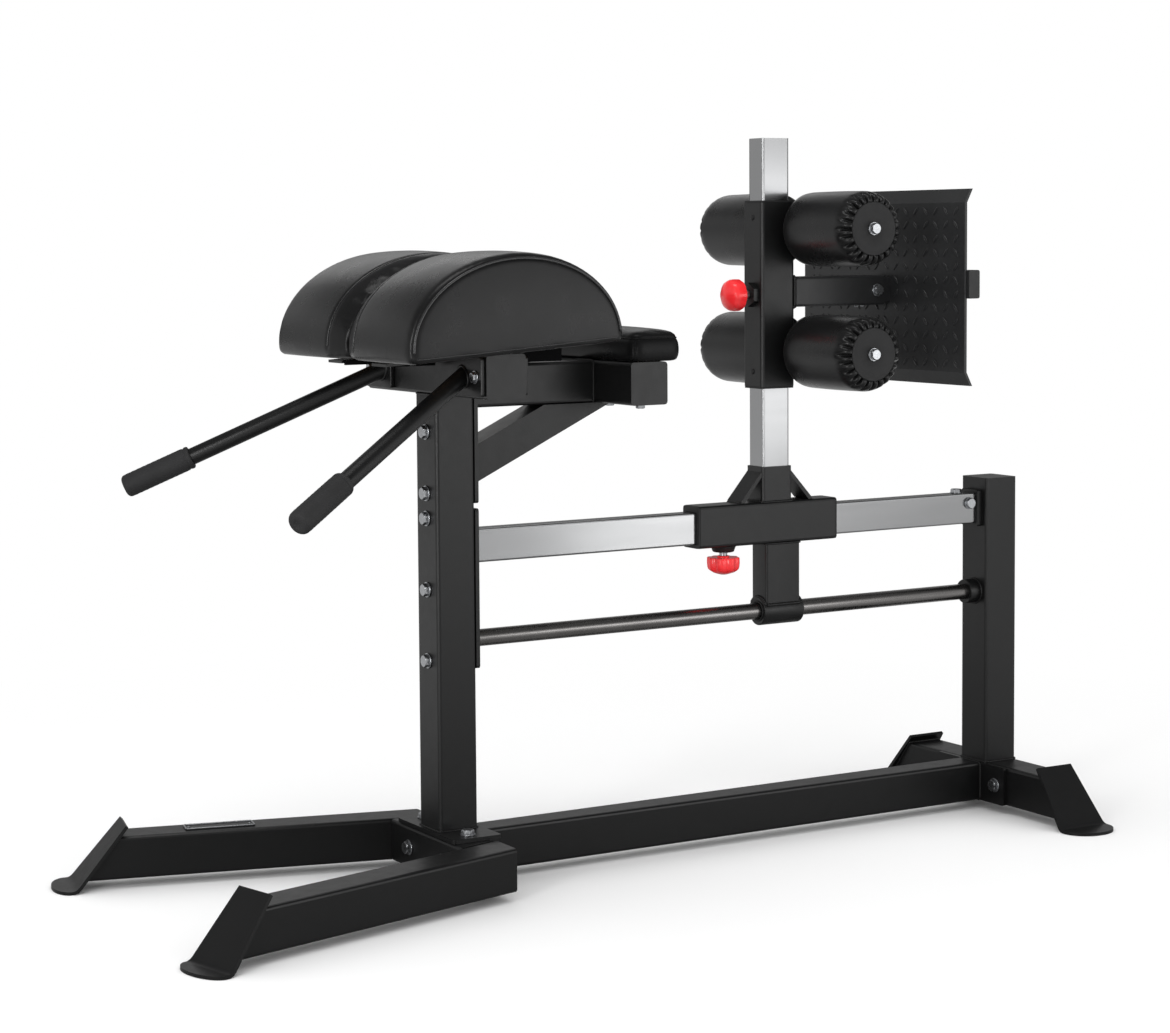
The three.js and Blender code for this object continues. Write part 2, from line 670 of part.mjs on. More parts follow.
function thighPadRing(y, inset, side) {
  const { centreX, halfLength, height, edge } = thighPad;
  const points = [];
  const across = halfLength - inset;
  const rise = height - edge - inset;
  points.push(new THREE.Vector3(centreX + across, side * y, padBottom));
  for (let i = 0; i <= padArcSteps; i += 1) {
    const angle = (Math.PI * i) / padArcSteps;
    const x = centreX + across * Math.cos(angle);
    points.push(new THREE.Vector3(x, side * y, padBottom + edge + rise * Math.sin(angle)));
  }
  points.push(new THREE.Vector3(centreX - across, side * y, padBottom));
  return points;
}

function thighPadSolid(side) {
  const { innerY, outerY, grooveWidth, grooveDepth, seamWidth, seamDepth, endRound, crown } = thighPad;
  const grooveTop = innerY + grooveWidth;
  const roundStart = outerY - endRound;
  const seamOut = roundStart - seamWidth;
  const width = seamOut - grooveTop - seamWidth;
  const rings = [
    [innerY, grooveDepth],
    [innerY + grooveWidth * grooveShares.reach, grooveDepth * grooveShares.depth],
    [grooveTop, crown],
    [grooveTop + seamWidth / 2, crown + seamDepth],
    [grooveTop + seamWidth, crown],
  ];
  const crownSteps = 6;
  for (let i = 1; i < crownSteps; i += 1) {
    const share = i / crownSteps;
    rings.push([grooveTop + seamWidth + width * share, crown * (2 * share - 1) ** 2]);
  }
  rings.push([seamOut, crown], [seamOut + seamWidth / 2, crown + seamDepth], [roundStart, crown]);
  const roundSteps = 3;
  for (let i = 1; i <= roundSteps; i += 1) {
    const angle = (Math.PI * i) / (2 * roundSteps);
    rings.push([roundStart + endRound * Math.sin(angle), crown + endRound * (1 - Math.cos(angle))]);
  }
  const middleRise = padBottom + thighPad.height * tipShare;
  const innerTip = new THREE.Vector3(thighPad.centreX, side * innerY, middleRise);
  const outerTip = new THREE.Vector3(thighPad.centreX, side * (outerY + thighPad.endCrown), middleRise);
  const body = loft(rings.map(([y, inset]) => thighPadRing(y, inset, side)), innerTip, outerTip);
  return cut(body, padBoardSolid(side, clearance, overrun));
}

function padBoardSolid(side, margin, below) {
  const inset = board.inset + thighPad.grooveDepth - margin;
  const y = [thighPad.innerY + board.inset - margin, thighPad.outerY - board.inset + margin];
  const height = [padBottom - below, padBottom + board.thickness + margin];
  const box = block(span(thighPad.centreX, thighPad.halfLength - inset), y, height);
  return side > 0 ? box : box.rotateZ(Math.PI).translate(2 * thighPad.centreX, 0, 0);
}

// Seat pad: rounded rectangles stacked up, drawn in at the foot, the sewn edge and the crown.

const seatPadMiddle = seatTubeFront + seatPad.overhang + seatPad.length / 2;
const seatPadBottom = topTubeBottom + tube.side + clearance;

function seatPadSolid() {
  const { length, halfWidth, height, corner, crown, seamHeight } = seatPad;
  const topHeight = height - seamHeight;
  const levels = [
    ...seatPadSideShares.map(([up, inward]) => [seamHeight * up, crown * inward]),
    ...seatPadTopShares.map(([up, inward]) => [seamHeight + topHeight * up, crown * inward]),
  ];
  const rings = levels.map(([z, inset]) => {
    const outlinePoints = rectangle(length - 2 * inset, 2 * (halfWidth - inset), corner, seatPadMiddle, 0);
    return outlinePoints.map((point) => new THREE.Vector3(point.x, point.y, seatPadBottom + z));
  });
  const foot = new THREE.Vector3(seatPadMiddle, 0, seatPadBottom);
  const top = new THREE.Vector3(seatPadMiddle, 0, seatPadBottom + height);
  return cut(loft(rings, foot, top), seatBoardSolid(clearance, overrun));
}

function seatBoardSolid(margin, below) {
  const inset = board.inset - margin;
  return block(
    span(seatPadMiddle, seatPad.length / 2 - inset),
    span(0, seatPad.halfWidth - inset),
    [seatPadBottom - below, seatPadBottom + board.thickness + margin],
  );
}

// Handles: a plate in front of the pad tube, bolted through it to a plate behind, and a leaning rod.

function handleMatrix(side) {
  const direction = new THREE.Vector3(
    -Math.cos(handle.dip) * Math.cos(handle.yaw),
    side * Math.cos(handle.dip) * Math.sin(handle.yaw),
    -Math.sin(handle.dip),
  );
  const turn = new THREE.Quaternion().setFromUnitVectors(new THREE.Vector3(0, 0, 1), direction);
  const start = new THREE.Vector3(-clearance, side * handle.startY, padTubeBottom + handle.startRise);
  return new THREE.Matrix4().compose(start, turn, new THREE.Vector3(1, 1, 1));
}

function sideSpan(side, inner, outer) {
  return side > 0 ? [inner, outer] : [-outer, -inner];
}

function handleSolid(side) {
  const middle = padTubeBottom + tube.side / 2;
  const height = tube.side - 2 * handlePlate.margin;
  const plateAt = (innerY, from) => {
    const [low, high] = sideSpan(side, innerY, handlePlate.outerY);
    const shape = section(rectangle(high - low, height, flange.corner, (low + high) / 2, middle));
    return alongX(shape, from, from + handlePlate.thickness);
  };
  const frontPlate = plateAt(handlePlate.innerY, -clearance - handlePlate.thickness);
  const backPlate = plateAt(handlePlate.backInnerY, tube.side + clearance);
  const boltAt = [side * handlePlate.boltY, middle];
  const reach = handlePlate.thickness + clearance + smallBolt.headHeight;
  const round = section(circle(smallBolt.radius, ...boltAt, shaftSides));
  const shaft = alongX(round, -reach + weldDepth, tube.side + reach - weldDepth);
  const hex = section(hexagon(smallBolt.head, ...boltAt));
  const headDepth = smallBolt.headHeight + weldDepth;
  const frontHead = alongX(hex, -reach, headDepth - reach);
  const backHead = alongX(hex, tube.side + reach - headDepth, tube.side + reach);
  const bar = alongZ(section(circle(handle.radius)), -handle.radius, handle.length)
    .applyMatrix4(handleMatrix(side));
  const upright = [0, padTubeTop + handle.length];
  const beforePlate = block([-handle.length, -clearance - weldDepth], span(0, handle.length), upright);
  return join(frontPlate, backPlate, shaft, frontHead, backHead, common(bar, beforePlate));
}

function gripSolid(side) {
  const end = handle.length + clearance + grip.endWall;
  const start = end - grip.length;
  const bore = handle.radius + clearance;
  const boreEnd = handle.length + clearance;
  const profile = [[0, boreEnd], [bore, boreEnd], [bore, start], [grip.radius, start]];
  const steps = 4;
  for (let i = 0; i <= steps; i += 1) {
    const angle = (Math.PI * i) / (2 * steps);
    const radius = grip.radius - grip.endRound * (1 - Math.cos(angle));
    profile.push([radius, end - grip.endRound * (1 - Math.sin(angle))]);
  }
  profile.push([0, end]);
  return turned(profile).applyMatrix4(handleMatrix(side));
}

// Rail and rod

function railSolid() {
  const outer = tubeSection(rail.width, rail.height, rail.corner, rail.wall, 0, railMiddle);
  const body = alongX(outer, topTubeFront, railRear);
  const holes = [];
  for (let i = -hole.railBefore; i <= hole.railAfter; i += 1) {
    const x = pin.railPinX + i * hole.railPitch;
    const round = section(circle(hole.radius, x, 0, shaftSides));
    holes.push(alongZ(round, railUnderside - overrun, railUnderside + 2 * rail.wall));
  }
  const sideZ = railUnderside + stub.sideBoltRise;
  holes.push(boltHole(smallBolt, [rearPostFront - stub.sideBoltBack, sideZ], "y", -rail.width, 0));
  const stopAt = [rearPostFront - stub.stopBoltBack, 0];
  holes.push(boltHole(smallBolt, stopAt, "z", railTop - 2 * rail.wall, railTop + overrun));
  return cut(body, ...holes);
}

function rodSolid() {
  return alongX(section(circle(rod.radius, 0, rodHeight)), topTubeFront, rearPostFront - clearance);
}

// Carriage

const sleeveRear = sleeve.front + sleeve.length;

function sleeveSolid() {
  const middle = sleeveBottom + sleeve.height / 2;
  const body = alongX(
    tubeSection(sleeve.width, sleeve.height, sleeve.corner, sleeve.wall, 0, middle), sleeve.front, sleeveRear,
  );
  const nut = turned([
    [0, 0], [housing.bottomRadius, 0], [housing.topRadius, housing.height],
    [housing.topRadius, housing.height + weldDepth], [0, housing.height + weldDepth],
  ]).translate(pin.railPinX, 0, sleeveBottom - housing.height);
  const bore = section(circle(pin.radius + runningClearance, pin.railPinX, 0));
  const low = sleeveBottom - housing.height - overrun;
  return cut(join(body, nut), alongZ(bore, low, sleeveBottom + sleeve.wall + overrun));
}

// A liner fills the room between a sleeve and the bar that it slides on, with a lip at each end.
function linerSolid(push, size) {
  const { width, height, wall, corner, middle, from, to, lip } = size;
  const { barWidth, barHeight, barCorner, barMiddle } = size;
  const inside = 2 * (wall + clearance);
  const within = section(rectangle(width - inside, height - inside, corner / 2, ...middle));
  const core = push(within, from - lip, to + lip);
  const rim = section(rectangle(width - 2 * clearance, height - 2 * clearance, corner, ...middle));
  const bar = section(rectangle(
    barWidth + 2 * runningClearance, barHeight + 2 * runningClearance, barCorner, ...barMiddle,
  ));
  const rims = [
    push(rim, from - clearance - lip, from - clearance),
    push(rim, to + clearance, to + clearance + lip),
  ];
  return cut(join(core, ...rims), push(bar, from - 2 * lip - overrun, to + 2 * lip + overrun));
}

function railLinerSolid() {
  const whole = linerSolid(alongX, {
    width: sleeve.width, height: sleeve.height, wall: sleeve.wall, corner: sleeve.corner, lip: sleeve.lip,
    middle: [0, sleeveBottom + sleeve.height / 2], from: sleeve.front, to: sleeveRear,
    barWidth: rail.width, barHeight: rail.height, barCorner: rail.corner,
    barMiddle: [0, railMiddle],
  });
  const bore = section(circle(pin.radius + runningClearance, pin.railPinX, 0));
  return cut(whole, alongZ(bore, sleeveBottom, railUnderside + overrun));
}

function neckSolid() {
  const outerX = mast.width + 2 * (clearance + neck.wall);
  const outerY = mast.depth + 2 * (clearance + neck.wall);
  const bottom = sleeveTop + clearance;
  const body = alongZ(
    tubeSection(outerX, outerY, neck.corner, neck.wall, mastMiddle, 0), bottom, bottom + neck.height,
  );
  const top = bottom + neck.height - brace.drop;
  const bars = [[-1, brace.frontReach], [1, brace.rearReach]].map(([way, reach]) => {
    const face = mastMiddle + way * (outerX / 2 - weldDepth);
    const tip = face + way * (reach + weldDepth);
    const shape = outline([
      [face, top], [tip, bottom + brace.thickness / 2], [tip, bottom],
      [tip - way * brace.thickness, bottom], [face, top - brace.thickness * Math.SQRT2],
    ]);
    return outward(alongY(shape, ...span(0, brace.width / 2)));
  });
  return join(body, ...bars);
}

function lowerNeckSolid() {
  const middle = lowerNeck.front + lowerNeck.length / 2;
  const bottom = rodHeight + rodSleeve.radius / 2;
  const body = alongZ(
    tubeSection(lowerNeck.length, lowerNeck.width, lowerNeck.corner, lowerNeck.wall, middle, 0),
    bottom, sleeveBottom - clearance,
  );
  const rear = rodSleeve.front + rodSleeve.length;
  const collar = alongX(section(circle(rodSleeve.radius, 0, rodHeight)), rodSleeve.front, rear);
  const bore = alongX(
    section(circle(rod.radius + runningClearance, 0, rodHeight)), rodSleeve.front - overrun, rear + overrun,
  );
  return cut(join(body, collar), bore);
}

function mastSolid() {
  const outer = section(rectangle(mast.width, mast.depth, mast.corner, mastMiddle, 0));
  const inside = [mast.width - 2 * mast.wall, mast.depth - 2 * mast.wall, mast.corner - mast.wall];
  const inner = section(rectangle(...inside, mastMiddle, 0));
  const body = cut(
    alongZ(outer, mastBottom, mastTop),
    alongZ(inner, mastBottom - overrun, mastTop - mast.wall),
  );
  const holes = [];
  for (let i = -hole.mastEachWay; i <= hole.mastEachWay; i += 1) {
    const z = mastPinHeight + i * hole.mastPitch;
    const round = section(circle(hole.radius, 0, z, shaftSides));
    holes.push(alongX(round, mast.front - overrun, mast.front + 2 * mast.wall));
  }
  return cut(body, ...holes);
}

// Roller carriage

const rollerHeights = { upper: rollerCentre + roller.spacing / 2, lower: rollerCentre - roller.spacing / 2 };

function rollerSleeveSolid() {
  const body = alongZ(
    tubeSection(rollerSleeveWidth, rollerSleeveDepth, rollerSleeve.corner, rollerSleeve.wall, mastMiddle, 0),
    rollerSleeveBottom, rollerSleeveTop,
  );
  const nut = alongX(
    section(hexagon(2 * housing.bottomRadius, 0, mastPinHeight)),
    rollerSleeveFront - housing.height, rollerSleeveFront + weldDepth,
  );
  const hubs = Object.values(rollerHeights).flatMap((height) => [
    alongY(section(circle(hub.radius, rollerX, height)), ...span(0, hub.halfLength)),
    block(
      [rollerSleeveRear - weldDepth, rollerX],
      span(0, hub.gussetHalfWidth), span(height, hub.gussetHalfHeight),
    ),
  ]);
  const bores = Object.values(rollerHeights).map((height) => alongY(
    section(circle(axle.radius + clearance, rollerX, height)), ...span(0, hub.halfLength + overrun),
  ));
  const pinBore = alongX(
    section(circle(pin.radius + runningClearance, 0, mastPinHeight)),
    rollerSleeveFront - housing.height - overrun, rollerSleeveFront + rollerSleeve.wall + overrun,
  );
  return cut(join(body, nut, ...hubs), ...bores, pinBore);
}

function mastLinerSolid() {
  const whole = linerSolid(alongZ, {
    width: rollerSleeveWidth, height: rollerSleeveDepth, wall: rollerSleeve.wall, corner: rollerSleeve.corner,
    lip: rollerSleeve.lip, middle: [mastMiddle, 0], from: rollerSleeveBottom, to: rollerSleeveTop,
    barWidth: mast.width, barHeight: mast.depth, barCorner: mast.corner, barMiddle: [mastMiddle, 0],
  });
  const bore = section(circle(pin.radius + runningClearance, 0, mastPinHeight));
  return cut(whole, alongX(bore, rollerSleeveFront, mast.front + overrun));
}

function axleSolid(height) {
  const seat = roller.end - roller.recess + clearance;
  const shaft = alongY(section(circle(axle.radius, rollerX, height)), ...span(0, seat + weldDepth));
  const ends = Object.values(sides).flatMap((side) => [
    alongY(
      section(circle(axle.washerRadius, rollerX, height)), ...sideSpan(side, seat, seat + axle.washerHeight),
    ),
    alongY(
      section(hexagon(axle.head, rollerX, height)),
      ...sideSpan(side, seat + axle.washerHeight - weldDepth, seat + axle.washerHeight + axle.headHeight),
    ),
  ]);
  return join(shaft, ...ends);
}

function rollerSolid(side, height) {
  const { radius, end, round, discRadius, recess } = roller;
  const bore = axle.radius + runningClearance;
  const start = hub.halfLength + runningClearance;
  const profile = [[bore, start], [discRadius, start]];
  const steps = 3;
  for (let i = 0; i <= steps; i += 1) {
    const angle = (Math.PI * i) / (2 * steps);
    profile.push([radius - round * (1 - Math.sin(angle)), start + round * (1 - Math.cos(angle))]);
  }
  for (let i = 0; i <= steps; i += 1) {
    const angle = (Math.PI * i) / (2 * steps);
    profile.push([radius - round * (1 - Math.cos(angle)), end - round * (1 - Math.sin(angle))]);
  }
  profile.push([discRadius, end - recess], [bore, end - recess], [bore, start]);
  return turned(profile, rollerSides).rotateX(-side * Math.PI / 2).translate(rollerX, 0, height);
}

function armSolid() {
  const square = tubeSection(arm.width, arm.height, arm.corner, arm.wall, 0, armHeight);
  const body = alongX(square, armFront, armRear);
  const reach = arm.width / 2 + overrun;
  return cut(body, boltHole(smallBolt, [armRear - arm.boltBack, armHeight], "y", -reach, reach));
}

function footPlateAssembly() {
  const { halfWidth, thickness, lip, lipFlare, lipBend, insert } = footPlate;
  const front = footPlateFront;
  const bottom = rollerSleeveBottom + footPlate.rise;
  const top = bottom + footPlate.height;
  const curve = front + lipFlare * lipCurveShare;
  const face = [
    [front + lipFlare, bottom - lip], [curve, bottom], [front, bottom + lipBend],
    [front, top - lipBend], [curve, top], [front + lipFlare, top + lip],
  ];
  const back = face.map(([x, z]) => [x + thickness, z]).reverse();
  const sheet = outward(alongY(outline([...face, ...back]), ...span(0, halfWidth)));
  const play = 2 * (arm.wall + clearance);
  const stubTube = alongX(
    tubeSection(arm.width - play, arm.height - play, arm.corner / 2, arm.wall, 0, armHeight),
    armRear - insert, front + weldDepth,
  );
  const boltAt = [armRear - arm.boltBack, armHeight];
  const reach = arm.width / 2 + clearance;
  const round = section(circle(smallBolt.radius, ...boltAt, shaftSides));
  const shaft = alongY(round, ...span(0, reach + weldDepth));
  const heads = Object.values(sides).map((side) => alongY(
    section(hexagon(smallBolt.head, ...boltAt)), ...sideSpan(side, reach, reach + smallBolt.headHeight),
  ));
  const rib = alongY(
    tubeSection(
      backing.depth, backing.height, backing.corner, backing.wall,
      front + thickness + backing.depth / 2 - weldDepth, backingHeight,
    ),
    ...span(0, backing.halfLength),
  );
  return join(sheet, stubTube, shaft, ...heads, rib);
}

// Pull pins, drawn along z with the tip up: the shaft runs down from the tip, the knob hangs on its end.

function pinSolid(tipAbove, knobTop) {
  const end = -knob.bore + clearance;
  return turned([
    [0, tipAbove], [pin.radius - pin.tipRound, tipAbove], [pin.radius, tipAbove - pin.tipRound],
    [pin.radius, knobTop - runningClearance], [pin.collarRadius, knobTop - runningClearance],
    [pin.collarRadius, clearance], [pin.radius, clearance], [pin.radius, end], [0, end],
  ]);
}

function knobSolid() {
  const ring = (inset, z) => {
    const points = [];
    const count = knob.lobes * knobStepsPerLobe;
    for (let i = 0; i < count; i += 1) {
      const angle = (2 * Math.PI * i) / count;
      const radius = knob.radius - inset - (knob.valley * (1 - Math.cos(knob.lobes * angle))) / 2;
      points.push(new THREE.Vector3(radius * Math.cos(angle), radius * Math.sin(angle), z));
    }
    return points;
  };
  const rings = [
    ring(knob.edge, 0), ring(knob.edge / 4, -knob.edge / 2), ring(0, -knob.edge),
    ring(0, knob.edge - knob.height), ring(knob.edge / 4, knob.edge / 2 - knob.height),
    ring(knob.edge, -knob.height),
  ];
  const star = loft(rings, new THREE.Vector3(), new THREE.Vector3(0, 0, -knob.height));
  const crown = alongZ(
    section(circle(knob.crownRadius)), -knob.height - knob.crownHeight, -knob.height + weldDepth,
  );
  const bore = alongZ(section(circle(pin.radius + clearance)), -knob.bore, overrun);
  return cut(join(star, crown), bore);
}

// The assembled machine

function part(parent, name, geometry, material) {
  const mesh = new THREE.Mesh(geometry, material);
  mesh.name = name;
  parent.add(mesh);
  return mesh;
}

function addBolt(parent, name, size, gripLength, position, axis) {
  const mesh = part(parent, name, hexBolt(size, gripLength), materials.zinc);
  mesh.position.set(...position);
  mesh.quaternion.setFromUnitVectors(new THREE.Vector3(0, 0, 1), new THREE.Vector3(...axis));
}

function addBase(parent) {
  part(parent, "front_cross_tube", frontCrossSolid(), materials.blackPaint);
  for (const [name, side] of Object.entries(sides)) {
    const splayed = new THREE.Group();
    splayed.position.set(leg.rootX, side * leg.rootY, 0);
    splayed.rotation.z = side * (Math.PI - leg.splay);
    parent.add(splayed);
    part(splayed, `front_leg_${name}`, legSolid(side), materials.blackPaint);
    const foot = part(splayed, `front_foot_${name}`, footPlateSolid(frontFoot), materials.blackPaint);
    foot.position.x = leg.length;
    if (side > 0) {
      const plate = part(splayed, "label_plate", labelSolid(), materials.label);
      plate.position.set(leg.length - label.fromFoot, 0, baseTop + clearance);
    }
    const rear = part(parent, `rear_foot_${name}`, footPlateSolid(rearFoot), materials.blackPaint);
    rear.rotation.z = (side * Math.PI) / 2;
    rear.position.set(rearPostFront + tube.side / 2, side * rearCross.halfLength, 0);
  }
  part(parent, "base_beam", beamSolid(), materials.blackPaint);
  part(parent, "rear_cross_tube", rearCrossSolid(), materials.blackPaint);
}

function addPosts(parent) {
  part(parent, "front_post", frontPostSolid(), materials.blackPaint);
  part(parent, "rear_post", rearPostSolid(), materials.blackPaint);
  const plateTop = padTubeTop - strutPlate.topGap;
  const strutFlange = postFlange(strutPlateBottom, plateTop, strutBoltHeights());
  part(parent, "strut_plate", strutFlange, materials.blackPaint);
  const lowFlange = postFlange(railFlangeBottom, railFlangeTop, railBoltHeights());
  part(parent, "rail_flange", lowFlange, materials.blackPaint);
}

function addTop(parent) {
  part(parent, "pad_cross_tube", padTubeSolid(), materials.blackPaint);
  part(parent, "top_tube", topTubeSolid(), materials.blackPaint);
  part(parent, "diagonal_strut", strutSolid(), materials.blackPaint);
  part(parent, "seat_cross_tube", seatTubeSolid(), materials.blackPaint);
  part(parent, "seat_board", seatBoardSolid(0, 0), materials.plywood);
  part(parent, "seat_pad", seatPadSolid(), materials.vinyl);
  for (const [name, side] of Object.entries(sides)) {
    part(parent, `thigh_pad_board_${name}`, leant(padBoardSolid(side, 0, 0)), materials.plywood);
    part(parent, `thigh_pad_${name}`, leant(thighPadSolid(side)), materials.vinyl);
    part(parent, `handle_${name}`, handleSolid(side), materials.blackPaint);
    part(parent, `grip_${name}`, gripSolid(side), materials.rubber);
  }
}

function addBolts(parent) {
  const through = tube.side + clearance + flange.thickness;
  postBoltHeights().forEach((height, i) => {
    addBolt(parent, `post_bolt_${i + 1}`, bolt, through, [0, 0, height], [-1, 0, 0]);
  });
  const middle = base.floorGap + tube.side / 2;
  for (const [name, side] of Object.entries(sides)) {
    const plateGrip = postPlate.thickness + clearance + tube.wall;
    const above = [postPlate.boltX, side * postPlate.boltY, postPlateTop];
    addBolt(parent, `post_plate_bolt_${name}`, bolt, plateGrip, above, [0, 0, 1]);
    const ahead = [crossFront, side * frontBoltY, middle];
    addBolt(parent, `beam_front_bolt_${name}`, bolt, through, ahead, [-1, 0, 0]);
    const before = [rearPostFront - clearance - flange.thickness, side * flange.rearBoltOffset, middle];
    addBolt(parent, `beam_rear_bolt_${name}`, bolt, through, before, [-1, 0, 0]);
  }
}

function addRail(parent) {
  part(parent, "main_rail", railSolid(), materials.chrome);
  part(parent, "guide_rod", rodSolid(), materials.gunmetal);
}

function addCarriage(parent) {
  part(parent, "carriage_sleeve", sleeveSolid(), materials.blackPaint);
  part(parent, "carriage_liner", railLinerSolid(), materials.darkPlastic);
  part(parent, "carriage_neck", neckSolid(), materials.blackPaint);
  part(parent, "carriage_lower_neck", lowerNeckSolid(), materials.blackPaint);
  part(parent, "mast", mastSolid(), materials.chrome);
  const pull = new THREE.Group();
  const knobTop = sleeveBottom - housing.height - railKnobGap;
  pull.position.set(pin.railPinX, 0, knobTop);
  parent.add(pull);
  const tip = railUnderside + rail.wall + pin.engagement - knobTop;
  part(pull, "rail_pin", pinSolid(tip, railKnobGap), materials.zinc);
  part(pull, "rail_knob", knobSolid(), materials.redPlastic);
}

function addRollerCarriage(parent) {
  part(parent, "roller_sleeve", rollerSleeveSolid(), materials.blackPaint);
  part(parent, "roller_sleeve_liner", mastLinerSolid(), materials.darkPlastic);
  part(parent, "foot_arm", armSolid(), materials.blackPaint);
  part(parent, "foot_plate", footPlateAssembly(), materials.blackPaint);
  for (const [level, height] of Object.entries(rollerHeights)) {
    part(parent, `${level}_axle`, axleSolid(height), materials.zinc);
    for (const [name, side] of Object.entries(sides)) {
      part(parent, `${level}_roller_${name}`, rollerSolid(side, height), materials.vinyl);
    }
  }
  const pull = new THREE.Group();
  const knobRear = rollerSleeveFront - housing.height - mastKnobGap;
  pull.position.set(knobRear, 0, mastPinHeight);
  pull.rotation.y = Math.PI / 2;
  parent.add(pull);
  const tip = mast.front + mast.wall + pin.engagement - knobRear;
  part(pull, "mast_pin", pinSolid(tip, mastKnobGap), materials.zinc);
  part(pull, "mast_knob", knobSolid(), materials.redPlastic);
}

// The origin is on the floor under the middle of the overall length.
const frontReach = footHeight(frontFoot) * Math.tan(frontFoot.tilt) + frontFoot.flange + leg.length;
const frontTip = leg.rootX - frontReach * Math.cos(leg.splay);
const rearTip = rearPostFront + tube.side / 2 + rearFoot.bottomWidth / 2;

const machine = new THREE.Group();
machine.position.x = -(frontTip + rearTip) / 2;
addBase(machine);
addPosts(machine);
addTop(machine);
addBolts(machine);
addRail(machine);
const carriage = new THREE.Group();
machine.add(carriage);
addCarriage(carriage);
const rollerCarriage = new THREE.Group();
carriage.add(rollerCarriage);
addRollerCarriage(rollerCarriage);

export default machine;
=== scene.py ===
import math
import random

import bmesh
import bpy
from mathutils import Matrix, Quaternion, Vector
from mathutils.bvhtree import BVHTree
from mathutils.kdtree import KDTree


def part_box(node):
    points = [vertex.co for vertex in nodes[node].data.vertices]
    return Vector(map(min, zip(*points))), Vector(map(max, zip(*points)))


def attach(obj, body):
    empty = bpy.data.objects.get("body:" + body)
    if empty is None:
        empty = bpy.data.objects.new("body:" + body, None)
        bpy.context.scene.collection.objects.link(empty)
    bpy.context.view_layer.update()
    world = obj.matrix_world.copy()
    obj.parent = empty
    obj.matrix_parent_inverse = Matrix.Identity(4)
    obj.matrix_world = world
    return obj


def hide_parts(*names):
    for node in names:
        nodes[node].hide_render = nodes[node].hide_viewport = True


MM = 0.001

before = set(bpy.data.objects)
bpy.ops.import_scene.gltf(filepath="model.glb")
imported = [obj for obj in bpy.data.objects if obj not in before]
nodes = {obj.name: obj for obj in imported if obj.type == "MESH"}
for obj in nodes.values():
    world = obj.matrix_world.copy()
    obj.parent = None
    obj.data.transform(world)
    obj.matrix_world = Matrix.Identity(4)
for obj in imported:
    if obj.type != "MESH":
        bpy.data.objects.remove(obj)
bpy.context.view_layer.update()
SIDES = {"near": -1, "far": 1}
X, Y, Z = Vector((1, 0, 0)), Vector((0, 1, 0)), Vector((0, 0, 1))
TURN = 2 * math.pi


# Materials

class Nodes:
    """Adds nodes to one tree; an input takes a number, a colour or another node's output."""

    def __init__(self, tree):
        self.tree = tree

    def fill(self, socket, value):
        if isinstance(value, bpy.types.NodeSocket):
            self.tree.links.new(value, socket)
        elif socket.type == "RGBA":
            socket.default_value = (*value, 1.0)
        else:
            socket.default_value = value

    def add(self, kind, output, inputs, **settings):
        """A node with its settings and inputs, of which one output is handed back."""
        node = self.tree.nodes.new(f"ShaderNode{kind}")
        for setting, value in settings.items():
            setattr(node, setting, value)
        for key, value in inputs.items():
            self.fill(node.inputs[key], value)
        return node.outputs[output]

    def ramp(self, value, low, high, start=0.0, end=1.0, shape="LINEAR"):
        inputs = {"Value": value, "From Min": start, "From Max": end, "To Min": low, "To Max": high}
        return self.add("MapRange", "Result", inputs, interpolation_type=shape)

    def blend(self, factor, first, second, kind="RGBA"):
        return self.add("Mix", "Result", {"Factor": factor, "A": first, "B": second}, data_type=kind)


class Shader(Nodes):
    """A Principled material whose patterns lie in object coordinates, in metres."""

    def __init__(self, name, **values):
        self.material = bpy.data.materials.new(name)
        self.material.use_nodes = True
        super().__init__(self.material.node_tree)
        self.shader = self.tree.nodes["Principled BSDF"]
        for socket, value in values.items():
            self.shader.inputs[socket.replace("_", " ")].default_value = value
        self.place = self.add("TexCoord", "Object", {})

    def stretched(self, stretch):
        if stretch is None:
            return self.place
        return self.add("Mapping", "Vector", {"Scale": stretch, "Vector": self.place})

    def noise(self, scale, detail, stretch=None, roughness=0.5):
        inputs = {"Scale": scale, "Detail": detail, "Roughness": roughness}
        return self.add("TexNoise", "Fac", {**inputs, "Vector": self.stretched(stretch)})

    def cells(self, scale, stretch=None):
        inputs = {"Scale": scale, "Vector": self.stretched(stretch)}
        return self.add("TexVoronoi", "Distance", inputs, feature="DISTANCE_TO_EDGE")

    def pattern(self, numbers):
        return self.cells(*numbers[1:]) if numbers[0] == "cells" else self.noise(*numbers)


def surface(name, tones, rough, *bumps, **values):
    """A material whose tones, roughness and bumps each follow a pattern of their own.

    A pattern gives a noise's scale, detail, stretch and roughness, or "cells", scale and
    stretch. Each bump adds its strength and its depth in metres.
    """
    s = Shader(name, **values)
    s.fill(s.shader.inputs["Base Color"], s.blend(s.pattern(tones[0]), *tones[1:]))
    s.fill(s.shader.inputs["Roughness"], s.ramp(s.pattern(rough[0]), *rough[1:]))
    below = {}
    for pattern, strength, depth in bumps:
        inputs = {"Strength": strength, "Distance": depth, "Height": s.pattern(pattern)}
        below = {"Normal": s.add("Bump", "Normal", {**inputs, **below})}
    s.fill(s.shader.inputs["Normal"], below["Normal"])
    return s.material


def tinted(tone, *shares):
    return tuple(tone * share for share in shares)


def powder_coat(name, tone):
    """Satin black powder coat: fine orange peel and slightly uneven gloss."""
    return surface(
        name, ((9.0, 3.0), tinted(tone, 1.0, 1.02, 1.06), tinted(tone, 1.55, 1.58, 1.64)),
        ((60.0, 3.0), 0.3, 0.42),
        ((900.0, 2.0), 0.22, 0.0003), ((240.0, 2.0), 0.12, 0.0005), Specular_IOR_Level=0.38,
    )


